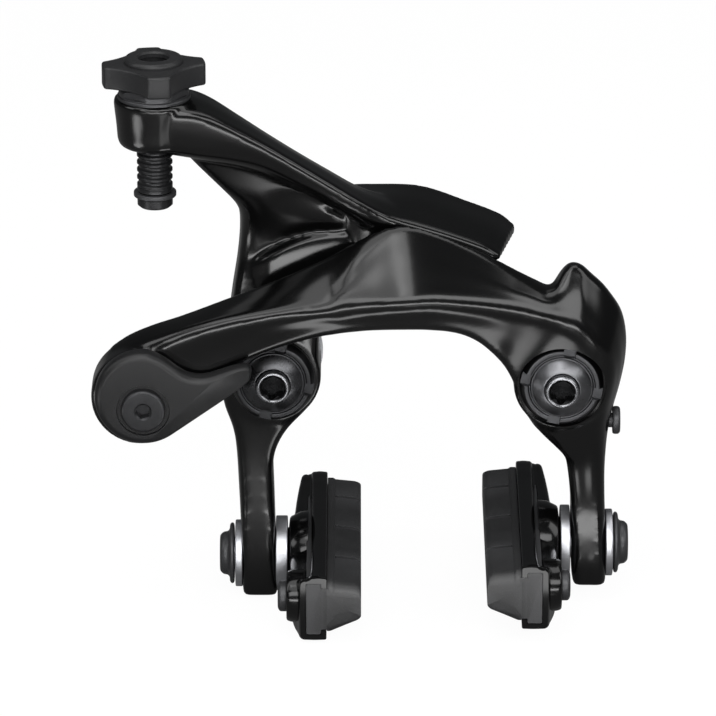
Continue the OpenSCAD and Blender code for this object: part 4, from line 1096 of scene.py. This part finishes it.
def build_centring_screw():
    """Small screw in the right leg that sets the springs' balance."""
    shank, low, top = 1.45, 29.2, 39.8
    body = spun([(low, 0), (low, shank), (38.3, shank), (38.3, 2.6), (38.7, 2.75), (39.4, 2.75), (top, 2.4),
                 (top, 0)], (0, 0.2, 0.05, 0.2, 0.2, 0.3, 0.3, 0), "x", CENTRING, 64)
    socket = prism(6, 1.15, 39.0, 41, "x", CENTRING)
    piece("centring_screw", "centring", screw_black, [body], [socket])


def build_washers(side):
    """The two bright washers of a shoe. The inner one is hollowed to the shoe's ball, a circle of 9.2 mm
    about a point 13 mm along the stud."""
    bore, outer_r, inner_r, end = 3.1, 6.6, 7.4, 5.4
    start = {-1: 3.1, 1: 3.55}[side]
    outer = ring([(-4.9, bore), (-4.9, outer_r), (-3.5, outer_r), (-3.5, bore)],
                 (0.1, 0.3, 0.2, 0.1), "x", ON_STUD)
    dish = [(13 - math.sqrt(9.2**2 - r * r), r) for r in (5.1, 4.6, 4.1, 3.6, bore)]
    inner = ring([(start, bore), (start, inner_r), (end, inner_r), (end, 5.3), *dish],
                 (0.1, 0.25, 0.25, 0.1, 0.1, 0.1, 0.1, 0.1, 0.1), "x", ON_STUD)
    for kind, shell in (("outer", outer), ("inner", inner)):
        name = f"{SIDES[side]}_{kind}_washer"
        body = SIDES[side] + "_washers"
        piece(name, body, washer_steel[side], [on_shoe(shell, side)])


def build_stud(side):
    """Stud through the leg and the flanged nut on its outer end, which has a hexagon socket."""
    name, body = SIDES[side], SIDES[side] + "_shoe"
    stud = spun([(-7.9, 0), (-7.9, 2.2), (-7.7, 2.4), (-7.2, 2.4), (-7.2, 2.95), (6.2, 2.95), (6.2, 0)],
                (0, 0.1, 0.1, 0.05, 0.05, 0.2, 0), "x", ON_STUD, 64)
    socket = prism(6, 1.5, -9, -6.2, "x", ON_STUD)
    piece(name + "_stud", body, plain_steel, [on_shoe(stud, side)], [on_shoe(socket, side)])
    nut = ring([(-5.1, 3.02), (-5.1, 5.6), (-5.3, 6.0), (-5.75, 6.0), (-6.0, 5.55), (-6.05, 4.75),
                (-6.4, 4.3), (-7.3, 4.2), (-7.95, 3.5), (-7.95, 2.75), (-7.25, 2.6), (-7.25, 3.02)],
               (0.1, 0.2, 0.2, 0.2, 0.15, 0.3, 0.3, 0.5, 0.3, 0.15, 0.05, 0.05), "x", ON_STUD)
    piece(name + "_stud_nut", body, screw_black, [on_shoe(nut, side)], sharp=40)


# Columns: y, outer side x from the holder's back, shoulder z, hollow z, top z, low z.
HOLDER_ROWS = [
    [27.5, 0.6, 4.6, 4.7, 5.1, -5.0],
    [27.0, 0.2, 5.4, 5.5, 6.0, -5.8],
    [25.8, 0.0, 5.9, 5.9, 6.5, -6.4],
    [22.0, -0.4, 5.9, 5.7, 6.7, -6.6],
    [16.0, -0.9, 5.6, 5.3, 6.6, -6.6],
    [8.0, -1.4, 5.0, 5.0, 6.6, -6.6],
    [4.0, -1.9, 4.2, 4.7, 6.6, -6.6],
    [0.0, -2.0, 3.4, 4.4, 6.6, -6.6],
    [-14.0, -1.8, 3.0, 4.2, 6.6, -6.6],
    [-22.0, -1.2, 4.0, 4.8, 6.6, -6.6],
    [-25.8, -0.3, 5.4, 6.0, 6.6, -6.6],
    [-27.2, 0.0, 5.9, 6.2, 6.6, -6.6],
    [-27.5, 0.2, 5.7, 6.0, 6.4, -6.4],
]


def on_tipped_shoe(side, *shells):
    """Shells drawn round the left shoe's stud, with the small tip that both shoes have at rest."""
    return [on_shoe(shell, side, SHOE_PITCH) for shell in shells]


def tongue(back, grow, start, end):
    """The pad's tongue and its neck between the holder's lips, as a prism along the shoe, larger all
    round by `grow`."""
    near, wide, neck_end = back + 1.3 - grow, back + 4.1 + grow, back + 5.6
    low, top = PAD_HALF_HEIGHT - 1.1 + grow, PAD_HALF_HEIGHT - 0.1 + grow
    outline = rounded([(near, -top), (wide, -top), (wide, -low), (neck_end, -low),
                       (neck_end, low), (wide, low), (wide, top), (near, top)],
                      (0.35, 0.35, 0.2, 0.02, 0.02, 0.2, 0.35, 0.35), 4)
    return plate(outline[:, ::-1], [(start, 0), (end, 0)], "y")


def build_holder(side):
    """Shoe holder: a channel with two lips, open at the front, with a ball seat and a screw boss behind."""
    name, back = SIDES[side], HOLDER_BACK[side]
    y, outer, shoulder, hollow, top, low = flow(HOLDER_ROWS, 0.4, 0.3).T
    flat = np.zeros(len(y))
    lip = flat + back + 5.2
    place = [
        (lip, top), (flat + back + 2.3, top), (flat + back + 1.9, hollow),
        (back + outer, shoulder), (back + outer, low), (lip, low),
    ]
    corners = np.stack([np.stack([x, y, z], 1) for x, z in place], 1)
    reach, crown = (0.45, 1.0, 0.9, 1.3, 1.1, 0.45), (0.1, 0, -0.1, 0.1, 0.05, 0)
    channel = grid_shell(band(corners, reach, crown, 6, 4))
    a = np.linspace(0, math.asin(4.9 / 9), 14)
    seat = np.concatenate([
        np.stack([12.9 - 9 * np.cos(a), 9 * np.sin(a)], 1),
        [[5.62, 5.1], [5.8, 6.7], [5.95, 7.1], [6.2, 7.3], [7.0, 7.7], [8.0, 8.2]],
        [[back + 1.5, 8.4], [back + 1.5, 0]],
    ])
    boss = rounded([(back - 2.6, 0), (back - 2.6, 4.7), (back - 1.8, 5.0), (back + 1, 5.3), (back + 1, 0)],
                   (0, 0.5, 0.4, 0.2, 0), 4, False)
    solids = on_tipped_shoe(side, channel, lathe(seat, "x", ON_STUD), lathe(boss, "x", PAD_SCREW))
    cuts = on_tipped_shoe(
        side,
        tongue(back, 0.1, -40, 24.9),
        rod("x", 3.0, -20, 6.2, ON_STUD),
        rod("x", PAD_SCREW_HOLE_R, back - 8, back + 6, PAD_SCREW, 32),
    )
    piece(name + "_shoe_holder", name + "_shoe", holder_black, solids, cuts, sharp=30)


def build_pad(side):
    """Rubber pad: a bar with a slanting underside and three grooves. Towards each end its top and its
    underside close in along quarter circles."""
    name, back = SIDES[side], HOLDER_BACK[side]
    front = back + 11.9
    h, half = PAD_HALF_HEIGHT, PAD_HALF_LENGTH
    top_turn, low_turn = 2.6, 1.9
    groove_half, groove_depth = 0.55, 5.1
    t = np.linspace(0, math.pi / 2, 9)[::-1]
    end, end_fall = half - top_turn * (1 - np.sin(t)), 1 - np.cos(t)
    y = np.concatenate([end, [9, 0, -9], -end[::-1]])
    fall = np.concatenate([end_fall, [0, 0, 0], end_fall[::-1]])
    section = rounded([(back + 5.25, h), (back + 6.4, h), (back + 6.75, h - 0.35), (front - 1.0, h - 0.8),
                       (front, h - 1.35), (front, -h + 3.3), (front - 0.6, -h + 2.6), (back + 5.9, -h),
                       (back + 5.25, -h)],
                      (0.15, 0.25, 0.2, 1.2, 0.5, 0.5, 0.9, 0.4, 0.2), 4)
    x, z = section.T
    turn = np.where(z > 0, top_turn, -low_turn)
    rings = np.zeros((len(y), len(section), 3))
    rings[..., 0] = x
    rings[..., 1] = y[:, None]
    rings[..., 2] = z - turn * fall[:, None] * np.abs(z) / h
    cuts = [rod("x", PAD_SCREW_HOLE_R + 0.05, back - 8, back + 4.6, PAD_SCREW, 32)]
    for middle in (16.7, 1.6, -13.5):
        low, high = middle - groove_half, middle + groove_half
        slot = [(low, -9), (high, -9), (high, 9), (low, 9)]
        cuts.append(plate(slot, [(front - groove_depth, 0), (front + 3, 0)], "x"))
    solids = on_tipped_shoe(side, tongue(back, 0, -half + 0.1, 24.8), grid_shell(rings))
    cuts = on_tipped_shoe(side, *cuts)
    piece(name + "_pad", name + "_shoe", rubber, solids, cuts, sharp=30)


def build_pad_screw(side):
    """Small domed screw that keeps the pad in its holder."""
    name, back = SIDES[side], HOLDER_BACK[side]
    outer, under, end = back - 4.3, back - 2.62, back + 4.4
    body = spun([(outer, 0), (outer, 2.3), (back - 3.9, 3.0), (under, 3.0), (under, PAD_SCREW_HOLE_R),
                 (end, PAD_SCREW_HOLE_R), (end, 0)], (0, 0.7, 0.4, 0.15, 0.05, 0.2, 0), "x", PAD_SCREW, 64)
    socket = prism(6, 1.2, back - 6, back - 3.2, "x", PAD_SCREW)
    solids, cuts = on_tipped_shoe(side, body), on_tipped_shoe(side, socket)
    piece(name + "_pad_screw", name + "_shoe", screw_black, solids, cuts)


build_right_arm()
build_left_arm()
for side in (-1, 1):
    build_lock_ring(side)
    build_dome_washer(side)
    build_frame_bolt(side)
    build_washers(side)
    build_stud(side)
    build_holder(side)
    build_pad(side)
    build_pad_screw(side)
build_knob()
build_collar()
build_barrel()
build_circlip()
build_lever()
build_lever_cap()
build_centring_screw()

# The CAD pieces that keep their shape.

KEPT = {
    "right_bush": bush_polymer, "left_bush": bush_polymer, "sync_roller": roller_polymer,
    "roller_pin": plain_steel, "right_pivot_sleeve": plain_steel, "left_pivot_sleeve": plain_steel,
    "right_return_spring": plain_steel, "left_return_spring": plain_steel,
    "quick_release_shaft": plain_steel, "clamp_washer": plain_steel, "clamp_bolt": plain_steel,
}
for name, paint in KEPT.items():
    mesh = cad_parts[name].data
    mesh.materials.clear()
    mesh.materials.append(paint)

# The stage: floor, world and lamps.

FLOOR_Z = -46.4
FLOOR_HALF = 4000

# How much of the white background the paint's gloss shows. The photograph's paint shows little of it.

FLOOR_IN_GLOSS = 0.08
WORLD_IN_GLOSS = 0.03


def make_floor():
    """Wide pale floor that camera rays see almost white, with the object's shadow kept."""
    x, y = np.array([[-1, 1, 1, -1], [-1, -1, 1, 1]]) * FLOOR_HALF
    points = np.stack([x, y, np.full(4, FLOOR_Z)], 1)
    floor = object_from("floor", (points, [np.array([[0, 1, 2, 3]])]))
    p = Paint("floor_white")
    ray = p.node("ShaderNodeLightPath", {}, {}).outputs
    seen = Value(p, ray["Is Camera Ray"]) + Value(p, ray["Is Transmission Ray"])
    seen = (seen + Value(p, ray["Is Glossy Ray"]) * FLOOR_IN_GLOSS).clamped()
    shade = p.mix(seen, (0.02, 0.02, 0.02, 1), (0.9, 0.9, 0.9, 1))
    diffuse = p.node("ShaderNodeBsdfDiffuse", {}, {"Color": shade})
    glow = p.node("ShaderNodeEmission", {}, {"Color": (1, 1, 1, 1), "Strength": 1.0})
    mix = p.node("ShaderNodeMixShader", {}, {0: seen * 0.96, 1: diffuse.outputs[0], 2: glow.outputs[0]})
    p.node("ShaderNodeOutputMaterial", {}, {"Surface": mix.outputs[0]})
    floor.data.materials.append(p.material)


def make_world():
    """Dim light from all round, and white behind the object for camera rays."""
    world = bpy.data.worlds.new("world")
    bpy.context.scene.world = world
    world.use_nodes = True
    g = Graph(world.node_tree)
    ray = g.node("ShaderNodeLightPath", {}, {}).outputs
    faint = Value(g, ray["Is Glossy Ray"]) * WORLD_IN_GLOSS
    seen = Value(g, ray["Is Camera Ray"]) + (faint + Value(g, ray["Is Transmission Ray"]))
    dim = g.node("ShaderNodeBackground", {}, {"Color": (0.9, 0.95, 1.0, 1), "Strength": 0.04})
    white = g.node("ShaderNodeBackground", {}, {"Color": (1, 1, 1, 1), "Strength": 1.0})
    mix = g.node("ShaderNodeMixShader", {}, {0: seen, 1: dim.outputs[0], 2: white.outputs[0]})
    g.node("ShaderNodeOutputWorld", {}, {"Surface": mix.outputs[0]})


def softbox(name, place, aim, width, height, radiance):
    """Softbox at `place` that faces `aim`, both in metres, and that the camera doesn't see. It is three
    lamps in one plane, each smaller than the one before, so that it fades towards its edges."""
    for i, (size, part) in enumerate(((1.25, 0.25), (0.85, 0.35), (0.45, 0.4))):
        data = bpy.data.lights.new(f"{name}_{i}", "AREA")
        data.shape = "RECTANGLE"
        data.size, data.size_y = width * size, height * size
        data.energy = radiance * part * math.pi * data.size * data.size_y
        lamp = bpy.data.objects.new(f"{name}_{i}", data)
        lamp.location = place
        lamp.rotation_euler = (Vector(place) - Vector(aim)).to_track_quat("Z", "Y").to_euler()
        lamp.visible_camera = False
        bpy.context.scene.collection.objects.link(lamp)


def on_dome(azimuth, elevation, distance):
    """Place at a distance: azimuth 0 is in front, 90 to the right, in degrees."""
    a, e = math.radians(azimuth), math.radians(elevation)
    out = (math.sin(a) * math.cos(e), -math.cos(a) * math.cos(e), math.sin(e))
    return tuple(distance * c for c in out)


make_floor()
make_world()

# Low cards light the legs, the ends of the pads and the undersides of the arches.

softbox("leg_card", (0.0, -0.33, -0.026), (0.0, 0.0, -0.026), 0.34, 0.032, 29)
softbox("tail_card", (0.003, -0.068, -0.044), (0.003, -0.068, 1), 0.045, 0.016, 15)
softbox("far_card", (0.044, -0.195, -0.044), (0.044, -0.195, 1), 0.06, 0.036, 6)
softbox("left_card", (-0.18, -0.12, -0.044), (-0.18, -0.12, 1), 0.06, 0.06, 18)

# Larger boxes stand a metre away, all aimed at the middle of the brake.

AIM = (-0.01, -0.015, 0.01)
for name, azimuth, elevation, width, height, radiance in (
    ("wide_strip", 8, 31, 1.5, 0.26, 15),
    ("left_box", -30, 52, 0.5, 0.35, 6),
    ("middle_strip", 0, 54, 0.2, 0.4, 13),
    ("top_box", 0, 88, 1.1, 0.5, 7),
    ("left_strip", -78, 36, 0.3, 0.45, 9),
    ("right_strip", 80, 34, 0.3, 0.45, 8),
    ("back_box", 180, 52, 0.8, 0.15, 1.5),
):
    softbox(name, on_dome(azimuth, elevation, 1.0), AIM, width, height, radiance)

bpy.context.scene.view_settings.view_transform = "Standard"
